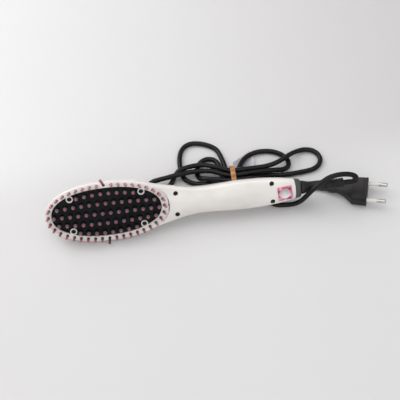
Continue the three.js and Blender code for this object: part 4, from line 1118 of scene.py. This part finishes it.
long_steps, cross_steps = 26, 12
drawn = bmesh.new()
rows = []
for share in [i / long_steps for i in range(long_steps + 1)]:
    near_edge, far_edge = 42 + 3 * share, 55 + 10.5 * share
    curl = 2.2 * (max(share - 0.6, 0) / 0.4) ** 1.5
    row = []
    for w in [2 * j / cross_steps - 1 for j in range(cross_steps + 1)]:
        x = 45 + (21.5 - 2.4 * w * w - 1.2 * w) * share
        y = near_edge + (far_edge - near_edge) * (w + 1) / 2
        z = 0.25 + curl + 0.12 * sin(7 * share + 2 * w)
        row.append(drawn.verts.new((x, y, max(z, 0.22))))
    rows.append(row)
skin(drawn, rows)
film = as_body(drawn, outward=False)
thick = film.modifiers.new("thick", "SOLIDIFY")
thick.thickness = 0.15
thick.offset = 0
settled(film)
milky_film = Finish("milky_film", alpha=0.75, specular_ior_level=0.5)
wave = milky_film.vary((90, 3), (0.12, 0.2), (0.3, (0.35, 0.34, 0.365)), (0.75, (0.60, 0.59, 0.62)))
milky_film.bump(wave, 0.4, 0.0006)
dressed(film, milky_film, "clear_film", smooth=60, place=cord_place)
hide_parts("hank_film")
tuple(cord_line[0])

# Display window.
# Smoked acrylic let into the back of the handle, flush with the shell. The lit display sits behind it
# and shows nothing while the brush is off.

lens = prism(window_outline(-0.02), -cutter_reach, -15.6)
cut(lens, linked("room", whole_form.data.copy()), operation="INTERSECT")
smoked = Finish("smoked_acrylic", roughness=0.07, specular_ior_level=0.6, coat_weight=1.0,
                coat_roughness=0.03)
depths = smoked.noise(40, 2)
smoked.feed(base_color=smoked.ramp(depths, (0.3, (0.004, 0.004, 0.005)), (0.7, (0.009, 0.009, 0.011))))
dressed(lens, smoked, "display_glass", smooth=40)
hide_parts("display_lens")

# Push buttons.
# Three round black keys on the back of the handle: power, lower and raise. Each is domed, carries its
# sign in relief and rides on a flange inside the shell, over a small switch.

gloss_key = Finish("gloss_key", specular_ior_level=0.5, coat_weight=0.3, coat_roughness=0.15)
gloss_key.vary((160, 3), (0.2, 0.2), (0.35, (0.012, 0.012, 0.013)), (0.75, (0.024, 0.024, 0.026)))
sign_paint = Finish("sign_paint", roughness=0.4)
wear = sign_paint.noise(500, 2)
sign_paint.feed(base_color=sign_paint.ramp(wear, (0.3, (0.58, 0.58, 0.58)), (0.7, (0.70, 0.70, 0.70))))
bar_half, bar_reach, key_proud, key_room = 0.25, 1.5, 0.9, 2.2


def key_sign(name, x, level):
    """The relief on a key: a bar, a cross, or a broken ring with a stroke."""
    a, b = bar_half, bar_reach
    if name == "minus":
        outlines = [rectangle(-a, a, -b, b)]
    elif name == "plus":
        outlines = [[(-a, -b), (a, -b), (a, -a), (b, -a), (b, a), (a, a), (a, b), (-a, b), (-a, a), (-b, a),
                     (-b, -a), (-a, -a)]]
    else:
        arc = [radians(40 + 280 * i / 24) for i in range(25)]
        ring = [(1.9 * cos(angle), 1.9 * sin(angle)) for angle in arc]
        ring += [(1.4 * cos(angle), 1.4 * sin(angle)) for angle in arc[::-1]]
        outlines = [ring, rectangle(0.3, 2.1, -a, a)]
    return [prism([(x + u, v) for u, v in outline], level - 0.12, level + 0.4) for outline in outlines]


for name, (x, radius) in button_places.items():
    face = parting_level - back_depth(x) - key_proud
    seat = parting_level - back_depth(x) + wall + key_room + clearance
    key_profile = [
        (0, face + 0.28), (radius * 0.35, face + 0.22), (radius * 0.62, face + 0.08), (radius * 0.8, face),
        (radius * 0.92, face + 0.12), (radius * 0.985, face + 0.4), (radius, face + 0.8), (radius, seat),
        (radius + 1, seat), (radius + 1, seat + 1), (0, seat + 1)]
    key = turned(key_profile, 56, Matrix.Translation((x, 0, 0)))
    dressed(key, gloss_key, f"{name}_key", smooth=35, rides=f"{name}_button")
    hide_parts(f"{name}_button")
    sign = together(key_sign(name, x, face + 0.2))
    dressed(sign, sign_paint, f"{name}_sign", smooth=30, rides=f"{name}_button")
drop(whole_form)

# Inner pieces.
# What the shells hold: the heater strips under their mica sheet and clamp plate, the fuse and sensor,
# the control board with its parts, the display, the switches and the slip contacts of the swivel.

inner_looks = {
    "fired_ceramic": (("heater_strip_1", "heater_strip_2", "temperature_sensor"),
                      (0.60, 0.57, 0.50), (0.72, 0.69, 0.63), 0.5, 0.0, 300),
    "mica_sheet": (("insulation_sheet",), (0.36, 0.28, 0.16), (0.52, 0.43, 0.28), 0.35, 0.0, 160),
    "rolled_steel": (("clamp_plate", "thermal_fuse", "power_switch", "minus_switch", "plus_switch"),
                     (0.40, 0.40, 0.41), (0.56, 0.56, 0.57), 0.25, 1.0, 240),
    "solder_mask": (("control_board",), (0.010, 0.075, 0.030), (0.020, 0.115, 0.050), 0.3, 0.0, 420),
    "display_black": (("display_module", "contact_block"),
                      (0.012, 0.012, 0.014), (0.024, 0.024, 0.026), 0.3, 0.0, 260),
}
for name, (nodes, dark, light, least_rough, metal, scale) in inner_looks.items():
    finish = Finish(name, metallic=metal)
    patch = finish.vary((scale, 3), (least_rough, 0.2), (0.35, dark), (0.7, light))
    finish.bump(patch, 0.15, 0.0001)
    for node in nodes:
        mesh = frame["nodes"][node].data
        mesh.materials.clear()
        mesh.materials.append(finish.material)
